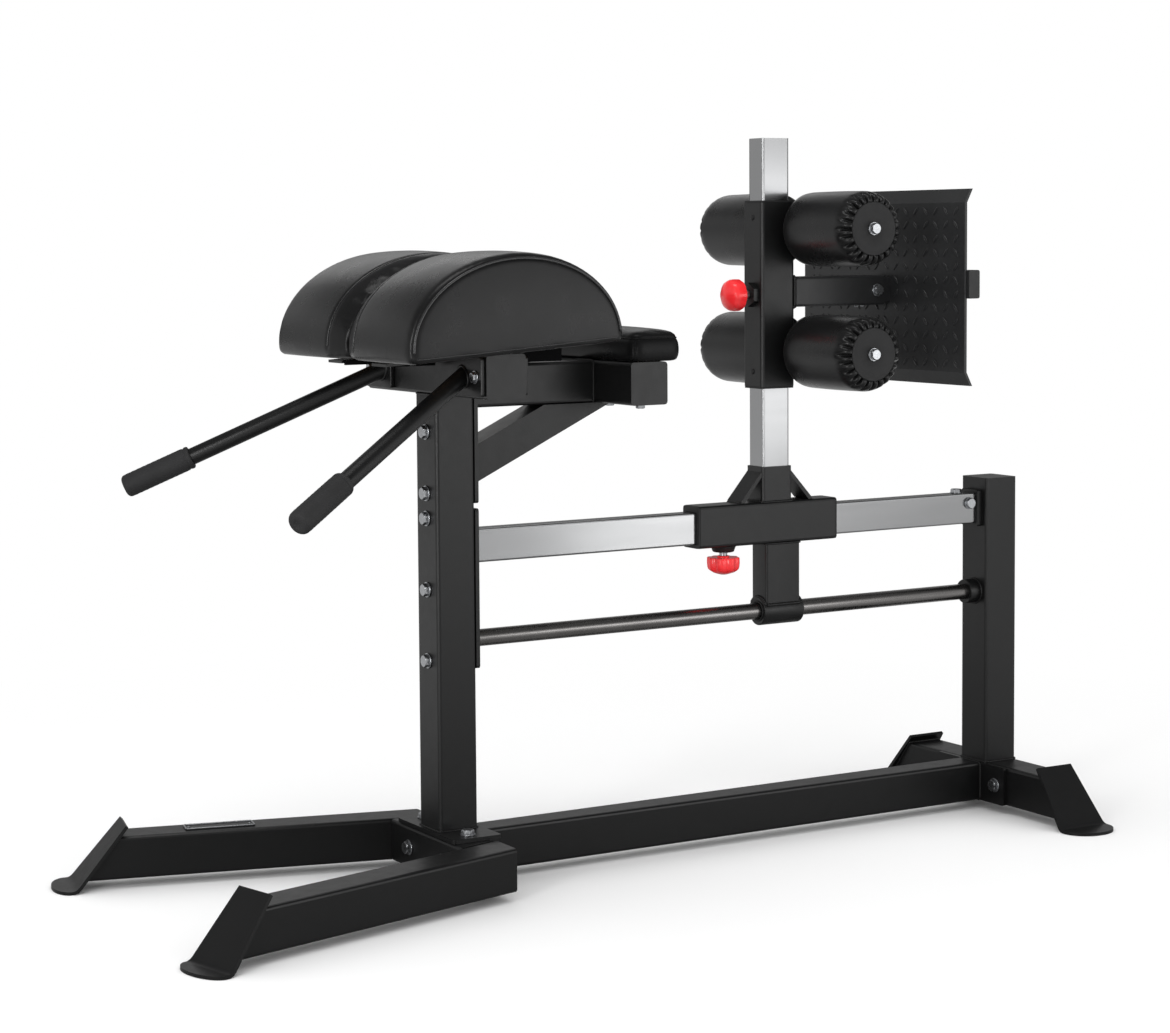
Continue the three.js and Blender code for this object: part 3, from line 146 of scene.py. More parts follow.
def vinyl(name, gloss, tone=0.005, rough=0.23):
    """Black upholstery vinyl: pebbled grain, soft sheen and faint rubbed patches."""
    return surface(
        name, ((14.0, 4.0), tinted(tone, 1.0, 1.0, 1.05), tinted(tone, 1.7, 1.7, 1.75)),
        ((22.0, 4.0), rough, rough + 0.11),
        (("cells", 620.0), 0.25, 0.0004), ((1500.0, 2.0), 0.12, 0.0003), ((38.0, 3.0), 0.12, 0.0012),
        Specular_IOR_Level=gloss, Sheen_Weight=0.02, Sheen_Roughness=0.4,
    )


def dark_plastic(name, low, high):
    """Moulded black plastic with a spark-eroded skin."""
    return surface(
        name, ((25.0, 2.0), (0.013, 0.013, 0.0134), (0.019, 0.019, 0.0194)), ((90.0, 2.0), low, high),
        ((1600.0, 2.0), 0.18, 0.0002), Specular_IOR_Level=0.22,
    )


MATERIALS = {
    "black_paint": powder_coat("black_powder_coat", 0.0038),
    # A lighter copy of the black powder coat for the foot plate, its arm and lugs: painted light, standing in
    # for the reflections these faces catch.
    "plate_paint_lit": powder_coat("plate_powder_coat_lit", 0.014),
    "vinyl": vinyl("black_vinyl", 0.25),
    # A less glossy copy of the pads' vinyl for the seat, so that it reads darker than the pads: painted
    # shade.
    "shaded_seat_vinyl": vinyl("shaded_seat_vinyl", 0.1),
    "roller_vinyl": vinyl("roller_vinyl", 0.34, 0.0045),
    # A lighter, glossier copy of the vinyl for the pads' seams and welts: the lighter tone is a painted
    # highlight along them, and the gloss catches the lamps.
    "lit_piping": vinyl("lit_piping_vinyl", 0.6, 0.012, 0.2),
    "dark_plastic": dark_plastic("dark_plastic", 0.42, 0.56),
    "label": dark_plastic("label_face", 0.3, 0.4),
    # Bright chrome with a soft polish haze along the bar
    "chrome": surface(
        "chrome_plate", ((5.0, 2.0), (0.32, 0.323, 0.328), (0.37, 0.373, 0.377)),
        ((14.0, 4.0, (0.3, 4.0, 4.0)), 0.13, 0.22), ((500.0, 2.0), 0.02, 0.0002), Metallic=1.0,
    ),
    # Polished dark steel with fine turning marks
    "gunmetal": surface(
        "dark_steel", ((12.0, 3.0), (0.17, 0.163, 0.16), (0.27, 0.262, 0.256)),
        ((900.0, 2.0, (1.0, 0.05, 0.05)), 0.2, 0.32),
        ((1800.0, 1.0, (1.0, 0.03, 0.03)), 0.05, 0.0002), Metallic=1.0,
    ),
    # Zinc plate with a mottled shine
    "zinc": surface(
        "zinc_plate", ((220.0, 3.0), (0.32, 0.33, 0.34), (0.5, 0.51, 0.53)),
        ((300.0, 3.0), 0.2, 0.38), ((1200.0, 2.0), 0.08, 0.0002), Metallic=1.0,
    ),
    # Thin black cloth under the pads, a plain weave without gloss: painted shade that keeps the battens as
    # dark as shadow
    "shade_cloth": surface(
        "shade_cloth", ((70.0, 3.0), (0.004, 0.004, 0.0042), (0.007, 0.007, 0.0072)),
        ((200.0, 2.0), 0.85, 0.95),
        (("cells", 900.0, (1.0, 0.6, 1.0)), 0.3, 0.0003), Specular_IOR_Level=0.05,
    ),
    # Matt grip rubber with a dusty bloom
    "rubber": surface(
        "grip_rubber", ((30.0, 4.0), (0.013, 0.013, 0.0135), (0.021, 0.021, 0.022)),
        ((50.0, 3.0), 0.62, 0.78), ((1100.0, 3.0), 0.3, 0.0004), Specular_IOR_Level=0.4,
    ),
    # Glossy moulded plastic
    "red_plastic": surface(
        "red_plastic", ((40.0, 2.0), (0.95, 0.02, 0.026), (1.0, 0.03, 0.036)),
        ((80.0, 2.0), 0.26, 0.36), ((260.0, 2.0), 0.05, 0.0005),
        Specular_IOR_Level=0.5, Coat_Weight=0.25, Coat_Roughness=0.1,
    ),
    # Plywood boards: long grain with darker streaks
    "plywood": surface(
        "plywood", ((60.0, 5.0, (0.12, 1.0, 1.0), 0.65), (0.17, 0.1, 0.05), (0.36, 0.24, 0.13)),
        ((80.0, 3.0), 0.65, 0.85), ((400.0, 4.0, (0.06, 1.0, 1.0)), 0.25, 0.0005),
        Specular_IOR_Level=0.3,
    ),
}


# Pieces and how they are placed

# Degrees between two faces from which their shared edge shows
SHARP_ANGLE = 35


def smoothed(mesh):
    for polygon in mesh.polygons:
        polygon.use_smooth = True


def add_piece(name, mesh, slot, body, *stands_for, sharp=None):
    """A new piece rides on its body, wears its slot's material and may stand for CAD nodes."""
    obj = bpy.data.objects.new(name, mesh)
    bpy.context.scene.collection.objects.link(obj)
    mesh.materials.append(MATERIALS[slot])
    smoothed(mesh)
    if sharp:
        mesh.set_sharp_from_angle(angle=math.radians(sharp))
    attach(obj, body)
    if stands_for:
        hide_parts(*stands_for)
    return obj


def add_fine(node, mesh, slot, body, sharp=SHARP_ANGLE):
    """A finer piece that stands for the CAD node of its name."""
    return add_piece(f"{node}_fine", mesh, slot, body, node, sharp=sharp)


def mesh_from(name, points, faces):
    mesh = bpy.data.meshes.new(name)
    mesh.from_pydata([tuple(p) for p in points], [], faces)
    mesh.update()
    fix = bmesh.new()
    fix.from_mesh(mesh)
    bmesh.ops.recalc_face_normals(fix, faces=fix.faces)
    fix.to_mesh(mesh)
    fix.free()
    return mesh


def standing(place, direction):
    """Takes millimetres to the frame's metres, with z turned along the direction."""
    turn = Vector(direction).normalized().to_track_quat("Z", "Y").to_matrix().to_4x4()
    return Matrix.Translation(place) @ turn @ MILLI


def rings_mesh(name, rings, closed=False, matrix=None):
    """Rings of equal point counts joined in a row; open rows end in flat caps."""
    count = len(rings[0])
    points = [Vector(p) for ring in rings for p in ring]
    if matrix is not None:
        points = [matrix @ p for p in points]
    faces = []
    rows = len(rings) if closed else len(rings) - 1
    for r in range(rows):
        a, b = r * count, ((r + 1) % len(rings)) * count
        faces += [(a + i, a + (i + 1) % count, b + (i + 1) % count, b + i) for i in range(count)]
    if not closed:
        faces.append(tuple(range(count)))
        last = (len(rings) - 1) * count
        faces.append(tuple(last + i for i in range(count)))
    return mesh_from(name, points, faces)


def turned_mesh(name, profile, sides, matrix, closed=False, wave=None):
    """A profile of (radius, height) turned about z; wave(angle, step) may shift a point."""
    rings = []
    for step, (radius, height) in enumerate(profile):
        ring = []
        for i in range(sides):
            angle = TURN * i / sides
            grow, lift = wave(angle, step) if wave else (0.0, 0.0)
            r = radius + grow
            ring.append((r * math.cos(angle), r * math.sin(angle), height + lift))
        rings.append(ring)
    return rings_mesh(name, rings, closed, matrix)


def arc(centre, radius, start, end, steps):
    """Points on an arc, angles in degrees."""
    points = []
    for i in range(steps + 1):
        angle = math.radians(start + (end - start) * i / steps)
        points.append((centre[0] + radius * math.cos(angle), centre[1] + radius * math.sin(angle)))
    return points


def joined(name, meshes):
    """Several meshes as one."""
    whole = bmesh.new()
    for mesh in meshes:
        whole.from_mesh(mesh)
    result = bpy.data.meshes.new(name)
    whole.to_mesh(result)
    whole.free()
    return result


def bevelled(obj, width, angle=30.0):
    """Soft edges that catch the light; the width in millimetres, the angle in degrees."""
    bevel = obj.modifiers.new("edge", "BEVEL")
    bevel.width = width * MM
    bevel.segments = 2
    bevel.limit_method = "ANGLE"
    bevel.angle_limit = math.radians(angle)
    bevel.harden_normals = True
    smoothed(obj.data)


# Places are written in the part's own millimetres and turned into the frame's metres.

MILLI = Matrix.Scale(MM, 4)
ORIGIN_X = 304.6515
CLEAR = 0.3
TUBE = {"side": 63.5, "corner": 5.0}
FRONT_POST_X, REAR_POST_X = 31.75, 1056.75
BEAM_Z, ROD_Z, TOP_TUBE_Z = 45.75, 360.0, 735.05
PAD_BOTTOM = 788.9
PAD_TILT = math.radians(-4.0)


def at(x, y, z):
    return Vector(((x - ORIGIN_X) * MM, y * MM, z * MM))


def leaning():
    """The turn that the thigh pads and their ears share about the tube's front top edge."""
    pivot = at(TUBE["corner"], 0, PAD_BOTTOM)
    return Matrix.Translation(pivot) @ Matrix.Rotation(PAD_TILT, 4, "Y") @ Matrix.Translation(-pivot)


def smooth_step(value):
    value = min(max(value, 0.0), 1.0)
    return value * value * (3 - 2 * value)


# Carried-over CAD nodes

CAD_SLOTS = {
    "chrome": ["main_rail", "mast"],
    "dark_plastic": ["carriage_liner", "roller_sleeve_liner"],
    "plywood": ["seat_board", "thigh_pad_board_near", "thigh_pad_board_far"],
    "label": ["label_plate"],
    # The foot plate and its arm wear the lighter coat, painted light.
    "plate_paint_lit": ["foot_plate", "foot_arm"],
}
NODE_SLOTS = {node: slot for slot, named in CAD_SLOTS.items() for node in named}


def dress_cad_nodes():
    for name, obj in nodes.items():
        obj.data.materials.clear()
        obj.data.materials.append(MATERIALS[NODE_SLOTS.get(name, "black_paint")])
        bevelled(obj, 0.7)


# Bolts and screws, in millimetres

def hex_head(across, height, chamfer, start):
    """Rings of a hex head whose top corners are turned off."""
    sides, fine = 6, 8
    corner = across / math.sqrt(3)
    top = start + height
    rings = []
    for z, limit in ((start, corner), (top - chamfer, corner), (top, across / 2 * 0.97)):
        ring = []
        for i in range(sides * fine):
            angle = TURN * i / (sides * fine)
            local = (angle + math.pi / sides) % (TURN / sides) - math.pi / sides
            reach = min(across / 2 / math.cos(local), limit)
            ring.append((reach * math.cos(angle), reach * math.sin(angle), z))
        rings.append(ring)
    return rings


def bolt_meshes(place, direction, across, head, washer, thick=1.4, stud=0.0):
    """A washer, a chamfered hex head and the stud's end, standing on a surface."""
    matrix = standing(place, direction)
    edge = min(thick * 0.3, 0.5)
    rim = washer - edge
    disc = [(0.5, 0.0), (rim, 0.0), (washer, edge), (washer, thick - edge), (rim, thick), (1.0, thick)]
    parts = [turned_mesh("washer", disc, 40, matrix)]
    parts.append(rings_mesh("head", hex_head(across, head, head * 0.18, thick - 0.2), matrix=matrix))
    if stud:
        radius, top = across * 0.3, thick + head + stud
        end = [(radius, thick), (radius, top - radius * 0.3), (radius * 0.72, top), (0.3, top)]
        parts.append(turned_mesh("stud", end, 24, matrix))
    return parts


def add_bolts():
    """Every bolt of the CAD is stood for by a finer one with a washer and a chamfered head."""
    for name in list(nodes):
        if "bolt" not in name:
            continue
        low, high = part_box(name)
        centre = (low + high) / 2
        if name.startswith("post_plate"):
            ends = [((centre.x, centre.y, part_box("front_post")[0].z + 6 * MM), Z, 0.0)]
        else:
            ends = [
                ((low.x + 8.8 * MM, centre.y, centre.z), -X, 0.0),
                ((high.x - 20 * MM, centre.y, centre.z), X, 3.5),
            ]
        meshes = []
        for place, direction, stud in ends:
            meshes += bolt_meshes(place, direction, 17, 6.5, 11.5, 2, stud)
        add_fine(name, joined(name, meshes), "zinc", "frame")


def small_bolt(name, place, direction, body, across, head, washer):
    mesh = joined(name, bolt_meshes(place, direction, across, head, washer))
    add_piece(name, mesh, "zinc", body, sharp=SHARP_ANGLE)


# Paths, welds, plates and bars; radii, steps and sizes in millimetres

def swept_mesh(name, path, radius, sides=8, closed=False, ripple=0.0, pitch=3.0, up=(0.31, 0.17, 0.93)):
    """A bead along a path; a ripple swells it at every pitch, as weld passes and stitches do."""
    count = len(path)
    travelled = 0.0
    rings = []
    for i, point in enumerate(path):
        if closed:
            before, after = path[i - 1], path[(i + 1) % count]
        else:
            before, after = path[max(i - 1, 0)], path[min(i + 1, count - 1)]
        tangent = (after - before).normalized()
        if i:
            travelled += (point - path[i - 1]).length
        side = tangent.cross(Vector(up))
        side = side.normalized() if side.length > 1e-6 else tangent.orthogonal().normalized()
        normal = side.cross(tangent).normalized()
        swell = radius * MM * (1 + ripple * math.sin(TURN * travelled / (pitch * MM)))
        if not closed and i in (0, count - 1):
            swell *= 0.35
        ring = []
        for k in range(sides):
            angle = TURN * k / sides
            ring.append(point + (side * math.cos(angle) + normal * math.sin(angle)) * swell)
        rings.append(ring)
    return rings_mesh(name, rings, closed)


def straight(start, end, step=1.0):
    start, end = Vector(start), Vector(end)
    steps = max(2, int((end - start).length / (step * MM)))
    return [start.lerp(end, i / steps) for i in range(steps + 1)]


def around(points, step=1.0):
    """A closed path through the corners given, walked in small steps."""
    path = []
    for i, point in enumerate(points):
        path += straight(point, points[(i + 1) % len(points)], step)[:-1]
    return path


def rounded_loop(centre, u, v, half_u, half_v, corner, steps=5):
    """Corner points of a rounded rectangle about a centre, spanned by u and v."""
    points = []
    for quarter, (right, top) in enumerate(((1, 1), (-1, 1), (-1, -1), (1, -1))):
        for i in range(steps + 1):
            angle = math.radians(90 * (quarter + i / steps))
            a = right * (half_u - corner) + corner * math.cos(angle)
            b = top * (half_v - corner) + corner * math.sin(angle)
            points.append(centre + (u * a + v * b) * MM)
    return points


def circle_path(centre, u, v, radius, steps):
    angles = [TURN * i / steps for i in range(steps)]
    return [centre + (u * math.cos(a) + v * math.sin(a)) * radius * MM for a in angles]


WELDS = {"frame": [], "carriage": [], "roller_carriage": []}


def weld(body, path, radius=2.0, closed=False):
    WELDS[body].append(swept_mesh("weld", path, radius, 8, closed, 0.16, 3.2))


def weld_loop(body, centre, u, v, half_u, half_v, corner, radius=2.0):
    weld(body, around(rounded_loop(centre, u, v, half_u, half_v, corner)), radius, True)


def plate_mesh(name, centre, u, v, normal, half_u, half_v, thick, corner, edge=0.8):
    """A flat plate with rounded corners and softened rims."""
    rings = []
    for depth, inset in ((0, edge), (edge, 0), (thick - edge, 0), (thick, edge)):
        middle = centre + normal * depth * MM
        round_off = max(corner - inset, 0.5)
        rings.append(rounded_loop(middle, u, v, half_u - inset, half_v - inset, round_off, 6))
    return rings_mesh(name, rings)


def bar_mesh(name, start, direction, length, radius, end=2.0, sides=40, bore=0.0):
    """A round bar with softened ends, or a tube where a bore is given."""
    inner = radius - end
    profile = [(inner, 0.0)]
    profile += [(inner + end * math.sin(a), end - end * math.cos(a)) for a in (0.5, 1.0, 1.5708)]
    profile += [(radius, length - end)]
    profile += [(inner + end * math.cos(a), length - end + end * math.sin(a)) for a in (0.55, 1.1, 1.5708)]
    if bore:
        profile += [(bore, length - end), (bore, end)]
    return turned_mesh(name, profile, sides, standing(start, direction), closed=bool(bore))


# Soft pieces

SWELL_FRAMES = 20


def held_and_puffed(obj, held, cap, voxel):
    """Remeshes a soft form evenly, swells it under pressure where it isn't held, and subdivides it."""
    scene = bpy.context.scene
    remesh = obj.modifiers.new("even", "REMESH")
    remesh.mode = "VOXEL"
    remesh.voxel_size = voxel * MM
    remesh.use_smooth_shade = True
    bake(obj)
    relax = obj.modifiers.new("relax", "SMOOTH")
    relax.factor, relax.iterations = 0.4, 3
    bake(obj)
    start = [v.co.copy() for v in obj.data.vertices]
    group = obj.vertex_groups.new(name="held")
    for vertex in obj.data.vertices:
        weight = held(vertex.co)
        if weight > 0:
            group.add([vertex.index], min(weight, 1.0), "REPLACE")
    cloth = obj.modifiers.new("swell", "CLOTH")
    settings = cloth.settings
    settings.vertex_group_mass = "held"
    settings.quality = 6
    settings.mass = 0.25
    settings.tension_stiffness = settings.compression_stiffness = 18
    settings.shear_stiffness = 8
    settings.bending_stiffness = 0.6
    settings.use_pressure = True
    settings.uniform_pressure_force = 4.0
    settings.effector_weights.gravity = 0
    cloth.collision_settings.use_collision = False
    cloth.point_cache.frame_start, cloth.point_cache.frame_end = 1, SWELL_FRAMES
    for frame_number in range(1, SWELL_FRAMES + 1):
        scene.frame_set(frame_number)
    bake(obj)
    scene.frame_set(1)
    for vertex, place in zip(obj.data.vertices, start):
        move = vertex.co - place
        if move.length > cap * MM:
            vertex.co = place + move.normalized() * (cap * MM)
    finer = obj.modifiers.new("finer", "SUBSURF")
    finer.levels = finer.render_levels = 1
    bake(obj)
    obj.vertex_groups.clear()


def bake(obj):
    """Puts what the modifiers make into the mesh and removes them."""
    slot_materials = list(obj.data.materials)
    made = obj.evaluated_get(bpy.context.evaluated_depsgraph_get())
    mesh = bpy.data.meshes.new_from_object(made)
    obj.modifiers.clear()
    obj.data = mesh
    mesh.materials.clear()
    for material in slot_materials:
        mesh.materials.append(material)
    smoothed(mesh)


def tree_of(points):
    """Finds the nearest of the points."""
    tree = KDTree(len(points))
    for i, point in enumerate(points):
        tree.insert(point, i)
    tree.balance()
    return tree


def press_in(obj, points, depth, width):
    """Presses a soft valley along the points of a path, as a sewn line does."""
    tree = tree_of(points)
    normals = [v.normal.copy() for v in obj.data.vertices]
    for vertex, normal in zip(obj.data.vertices, normals):
        distance = tree.find(vertex.co)[2] / (width * MM)
        if distance < 3:
            vertex.co -= normal * (depth * MM) * math.exp(-(distance ** 2))
    obj.data.update()


def laid_on(obj, path, sink):
    """Moves a path onto an object's surface, sunk in by a little."""
    tree = BVHTree.FromPolygons(
        [v.co for v in obj.data.vertices], [tuple(p.vertices) for p in obj.data.polygons],
    )
    laid = []
    for point in path:
        place, normal, _, _ = tree.find_nearest(point)
        laid.append(place - normal * (sink * MM))
    return laid


# Each pad is an arch over a flat foot; the groove is the valley on the side of the other pad.
PAD = {
    "inner": 2.0, "outer": 216.0, "centre": 36.5, "half": 176.5, "height": 142.0, "edge": 12.0,
    "groove": 40.0, "groove_depth": 16.0, "crown": 2.5, "round": 12.0, "foot_round": 9.0,
}


def pad_point(share, y, inset, side):
    """A point on a thigh pad's outline: share 0 is the rear foot, 1 the front foot."""
    angle = math.pi * share
    x = PAD["centre"] + (PAD["half"] - inset) * math.cos(angle)
    z = PAD_BOTTOM + PAD["edge"] + (PAD["height"] - PAD["edge"] - inset) * math.sin(angle)
    return leaning() @ at(x, side * y, z)


def pad_ring(y, inset, side):
    """One closed section of a thigh pad, with its lower corners rounded under."""
    across = PAD["half"] - inset
    rise = PAD["height"] - PAD["edge"] - inset
    small = PAD["foot_round"]
    arch_steps, foot_steps = 110, 40
    outline = arc((across - small, small), small, -90, 0, 4)
    for i in range(1, arch_steps):
        angle = math.pi * i / arch_steps
        outline.append((across * math.cos(angle), PAD["edge"] + rise * math.sin(angle)))
    outline += arc((small - across, small), small, 180, 270, 4)
    last, first = outline[-1], outline[0]
    for i in range(1, foot_steps):
        outline.append((last[0] + (first[0] - last[0]) * i / foot_steps, last[1]))
    lean = leaning()
    return [lean @ at(PAD["centre"] + x, side * y, PAD_BOTTOM + z) for x, z in outline]


def groove_inset(share):
    """How deep the valley between the pads is cut, from its middle to its seam."""
    return PAD["crown"] + (PAD["groove_depth"] - PAD["crown"]) * (1 - share) ** 1.2


def pad_rows():
    """Each section's distance from the middle of the machine and its inset."""
    inner, outer, groove = PAD["inner"], PAD["outer"], PAD["groove"]
    crown, soft = PAD["crown"], PAD["round"]
    rows = [(inner + groove * i / 9, groove_inset(i / 9)) for i in range(10)]
    seam = inner + groove
    for i in range(1, 33):
        share = i / 32
        rows.append((seam + (outer - soft - seam) * share, crown * (2 * share - 1) ** 2))
    for i in range(1, 6):
        angle = math.pi / 2 * i / 5
        rows.append((outer - soft * (1 - math.sin(angle)), crown + soft * (1 - math.cos(angle))))
    face = rows[-1][1]
    for i in range(1, 9):
        share = i / 9
        rows.append((outer + 2.5 * math.sin(math.pi / 2 * share), face + 118 * share))
    return rows


def add_thigh_pad(name, side):
    mesh = rings_mesh(f"{name}_soft", [pad_ring(y, inset, side) for y, inset in pad_rows()])
    piece = add_piece(f"{name}_soft", mesh, "vinyl", "frame", name)

    seam = PAD["inner"] + PAD["groove"]
    seam_path = [pad_point(i / 150, seam, PAD["crown"], side) for i in range(2, 149)]
    welt_y, welt_inset = PAD["outer"] - 1.0, PAD["crown"] + PAD["round"] * 0.62
    welt_path = [pad_point(i / 170, welt_y, welt_inset, side) for i in range(1, 170)]
    base = leaning() @ at(PAD["centre"], side * welt_y, PAD_BOTTOM + 7)
    ends = []
    for share, shift in ((0.0, -4 * MM), (1.0, 4 * MM)):
        foot = pad_point(share, welt_y, welt_inset, side)
        ends.append((foot.x + shift, foot.y, base.z + (foot.x - base.x) * math.tan(-PAD_TILT)))
    edge_path = straight(*ends, 3)
    down = leaning().to_3x3() @ -Z
    bottom = leaning() @ at(0, 0, PAD_BOTTOM)
    tree = tree_of(seam_path + welt_path)

    def held(place):
        if (place - bottom).dot(down) > -8 * MM:
            return 1.0
        near = tree.find(place)[2]
        return 1.0 if near < 5 * MM else max(0.0, 1 - (near - 5 * MM) / (10 * MM)) * 0.5

    held_and_puffed(piece, held, 3.5, 5)
    press_in(piece, seam_path, 1.6, 3.2)
    press_in(piece, welt_path, 1.2, 3.4)

    seams = [
        swept_mesh("seam", laid_on(piece, seam_path, -0.3), 1.3, 8, False, 0.16, 4.5),
        swept_mesh("welt", laid_on(piece, welt_path, -1.2), 2.0, 10, False, 0.03, 9),
        swept_mesh("edge", laid_on(piece, edge_path, 0.2), 0.9, 8, False, 0.1, 6),
    ]
    # The seams wear the lighter piping vinyl, a painted highlight.
    add_piece(f"{name}_seams", joined("seams", seams), "lit_piping", "frame")


SEAT = {"front": 274.4, "length": 87.0, "half": 135.0, "corner": 16.0, "bottom": 767.1, "welt": 35.2}
SEAT_POINTS = 162
# Heights above the seat's bottom and how far its outline is drawn in there
SEAT_LEVELS = [
    (0, 7.0), (1.2, 3.5), (4, 1.6), (9, 0.8), (16, 0.3), (24, 0.6), (30, 1.6), (33.5, 3.0),
    (37, 3.4), (40.5, 5.5), (43.2, 9.5), (45.0, 15.0), (46.2, 23.0), (46.9, 32.0),
]


def seat_loop(z, inset, corner):
    centre = at(SEAT["front"] + SEAT["length"] / 2, 0, SEAT["bottom"] + z)
    return rounded_loop(centre, X, Y, SEAT["length"] / 2 - inset, SEAT["half"] - inset, corner, 6)


def add_seat_pad():
    """A small boxed cushion: crowned top, a welt round its upper edge and wrapped corners."""
    rings = [
        resampled(seat_loop(z, inset, max(SEAT["corner"] - inset * 0.35, 5.0)), SEAT_POINTS)
        for z, inset in SEAT_LEVELS
    ]
    # The seat wears the dimmer copy of the vinyl, painted shade.
    piece = add_piece("seat_pad_soft", rings_mesh("seat_pad_soft", rings), "shaded_seat_vinyl", "frame", "seat_pad")
    welt_path = around(seat_loop(SEAT["welt"], 2.6, 14), 2)
    low = at(0, 0, SEAT["bottom"] + 5).z
    tree = tree_of(welt_path)

    def held(place):
        if place.z < low:
            return 1.0
        near = tree.find(place)[2]
        return max(0.0, 1 - near / (6 * MM)) * 0.9

    held_and_puffed(piece, held, 3.0, 4.5)
    press_in(piece, welt_path, 1.3, 3.0)
    wraps = []
    for right in (-1, 1):
        for far in (-1, 1):
            x = SEAT["front"] + SEAT["length"] / 2 + right * (SEAT["length"] / 2 - 3.5)
            y = far * (SEAT["half"] - 3.5)
            corner = straight(at(x, y, SEAT["bottom"] + 4), at(x, y, SEAT["bottom"] + 33), 1.5)
            wraps.append(laid_on(piece, corner, 0.3))
    press_in(piece, sum(wraps, []), 1.2, 2.6)
    seams = [swept_mesh("welt", laid_on(piece, welt_path, -0.1), 1.2, 8, True, 0.05, 7)]
    seams += [swept_mesh("wrap", laid_on(piece, path, 0.1), 0.8, 8, False, 0.25, 4) for path in wraps]
    # The seat's seams wear the dimmer vinyl too, painted shade.
    add_piece("seat_pad_seams", joined("seams", seams), "shaded_seat_vinyl", "frame")


def resampled(loop, count):
    """The same closed path in evenly spaced points."""
    lengths = [0.0]
    for i, point in enumerate(loop):
        lengths.append(lengths[-1] + (loop[(i + 1) % len(loop)] - point).length)
    total = lengths[-1]
    points, k = [], 0
    for i in range(count):
        want = total * i / count
        while lengths[k + 1] < want:
            k += 1
        part = (want - lengths[k]) / max(lengths[k + 1] - lengths[k], 1e-9)
        points.append(loop[k].lerp(loop[(k + 1) % len(loop)], part))
    return points


# Rollers and their axles

ROLLER = {
    "x": 664.0, "centre": 864.0, "spacing": 190.0, "radius": 57.2, "start": 38.4, "end": 197.0,
    "pleats": 24,
}
ROLLER_HEIGHTS = {
    "upper": ROLLER["centre"] + ROLLER["spacing"] / 2,
    "lower": ROLLER["centre"] - ROLLER["spacing"] / 2,
}
ROLLER_SEEDS = {"near": 1, "far": 13}
# The far rollers show little of their gathered ends, so their pleats are shallow.
PLEAT_DEPTHS = {"near": 1.0, "far": 0.2}


def add_roller(level, name, side):
    """A vinyl sleeve gathered in pleats over its outer end, where a flat disc covers the knot."""
    radius, start, end, pleats = ROLLER["radius"], ROLLER["start"], ROLLER["end"], ROLLER["pleats"]
    first, last = start + 14, end - 26
    profile = [(20.0, start), (36.0, start), (radius - 8.0, start + 0.4), (radius - 3.2, start + 2.4)]
    profile += [(radius - 0.8, start + 6.5), (radius, first)]
    barrel = rounding = 14
    for i in range(1, barrel + 1):
        share = i / barrel
        profile.append((radius + 0.5 * math.sin(math.pi * share), first + (last - first) * share))
    gather_from = len(profile)
    for i in range(1, rounding + 1):
        angle = math.pi / 2 * i / rounding
        drawn_in = 15.5 * (1 - math.cos(angle)) ** 0.9
        profile.append((radius - drawn_in, last + 26 * math.sin(angle) ** 0.82))
    profile += [(39.5, end - 1.2), (37.0, end - 3.5), (34.0, end - 5.0), (20.0, end - 5.5)]
    gather_to = gather_from + rounding + 1
    rng = random.Random(ROLLER_SEEDS[name])
    shifts = [rng.uniform(-0.22, 0.22) for _ in range(pleats)]
    depths = [rng.uniform(0.7, 1.25) * PLEAT_DEPTHS[name] for _ in range(pleats)]
    lengths = [rng.uniform(0.05, 0.35) for _ in range(pleats)]

    def wave(angle, step):
        if step < gather_from - 2 or step > gather_to + 1:
            return 0.0, 0.0
        share = (step - gather_from + 2) / (gather_to - gather_from + 1)
        turn = angle / TURN * pleats
        k = int(round(turn)) % pleats
        away = abs(turn - round(turn) - shifts[k] * 0.4)
        grow = smooth_step((share - lengths[k]) / (0.7 - lengths[k]))
        fold = math.exp(-((away / 0.15) ** 2)) * depths[k] * grow
        bulge = (1 - math.exp(-((away / 0.28) ** 2))) * grow * min(depths[k], 1.0)
        lift = -4.4 * fold + 1.6 * bulge
        return bulge - 6.6 * fold, lift if step < gather_to else 0.3 * lift

    node = f"{level}_roller_{name}"
    matrix = standing(at(ROLLER["x"], 0, ROLLER_HEIGHTS[level]), (0, side, 0))
    mesh = turned_mesh(node, profile, pleats * 12, matrix, wave=wave)
    piece = add_piece(f"{node}_soft", mesh, "roller_vinyl", f"{node}_body", node)
    disc = [(0.3, -5), (38.5, -5), (39.6, -2.2), (40.6, -0.6), (40.6, 0.3), (39.9, 0.9)]
    disc += [(38.8, 1.0), (37.5, 0.7), (30, 0.55), (14, 0.5), (13, 0.1), (0.3, 0.1)]
    mesh = turned_mesh("disc", [(r, end + h) for r, h in disc], 72, matrix)
    add_piece(f"{node}_disc", mesh, "dark_plastic", f"{node}_body", sharp=50)


def add_axle(level):
    height = ROLLER_HEIGHTS[level]
    seat = ROLLER["end"] + 0.4
    meshes = [bar_mesh("shaft", at(ROLLER["x"], 4 - seat, height), Y, 2 * seat - 8, 10.0, 1.0)]
    for side in SIDES.values():
        meshes += bolt_meshes(at(ROLLER["x"], side * seat, height), (0, side, 0), 15, 6.2, 10)
    add_fine(f"{level}_axle", joined("axle", meshes), "zinc", "roller_carriage")


# Knobs and pins

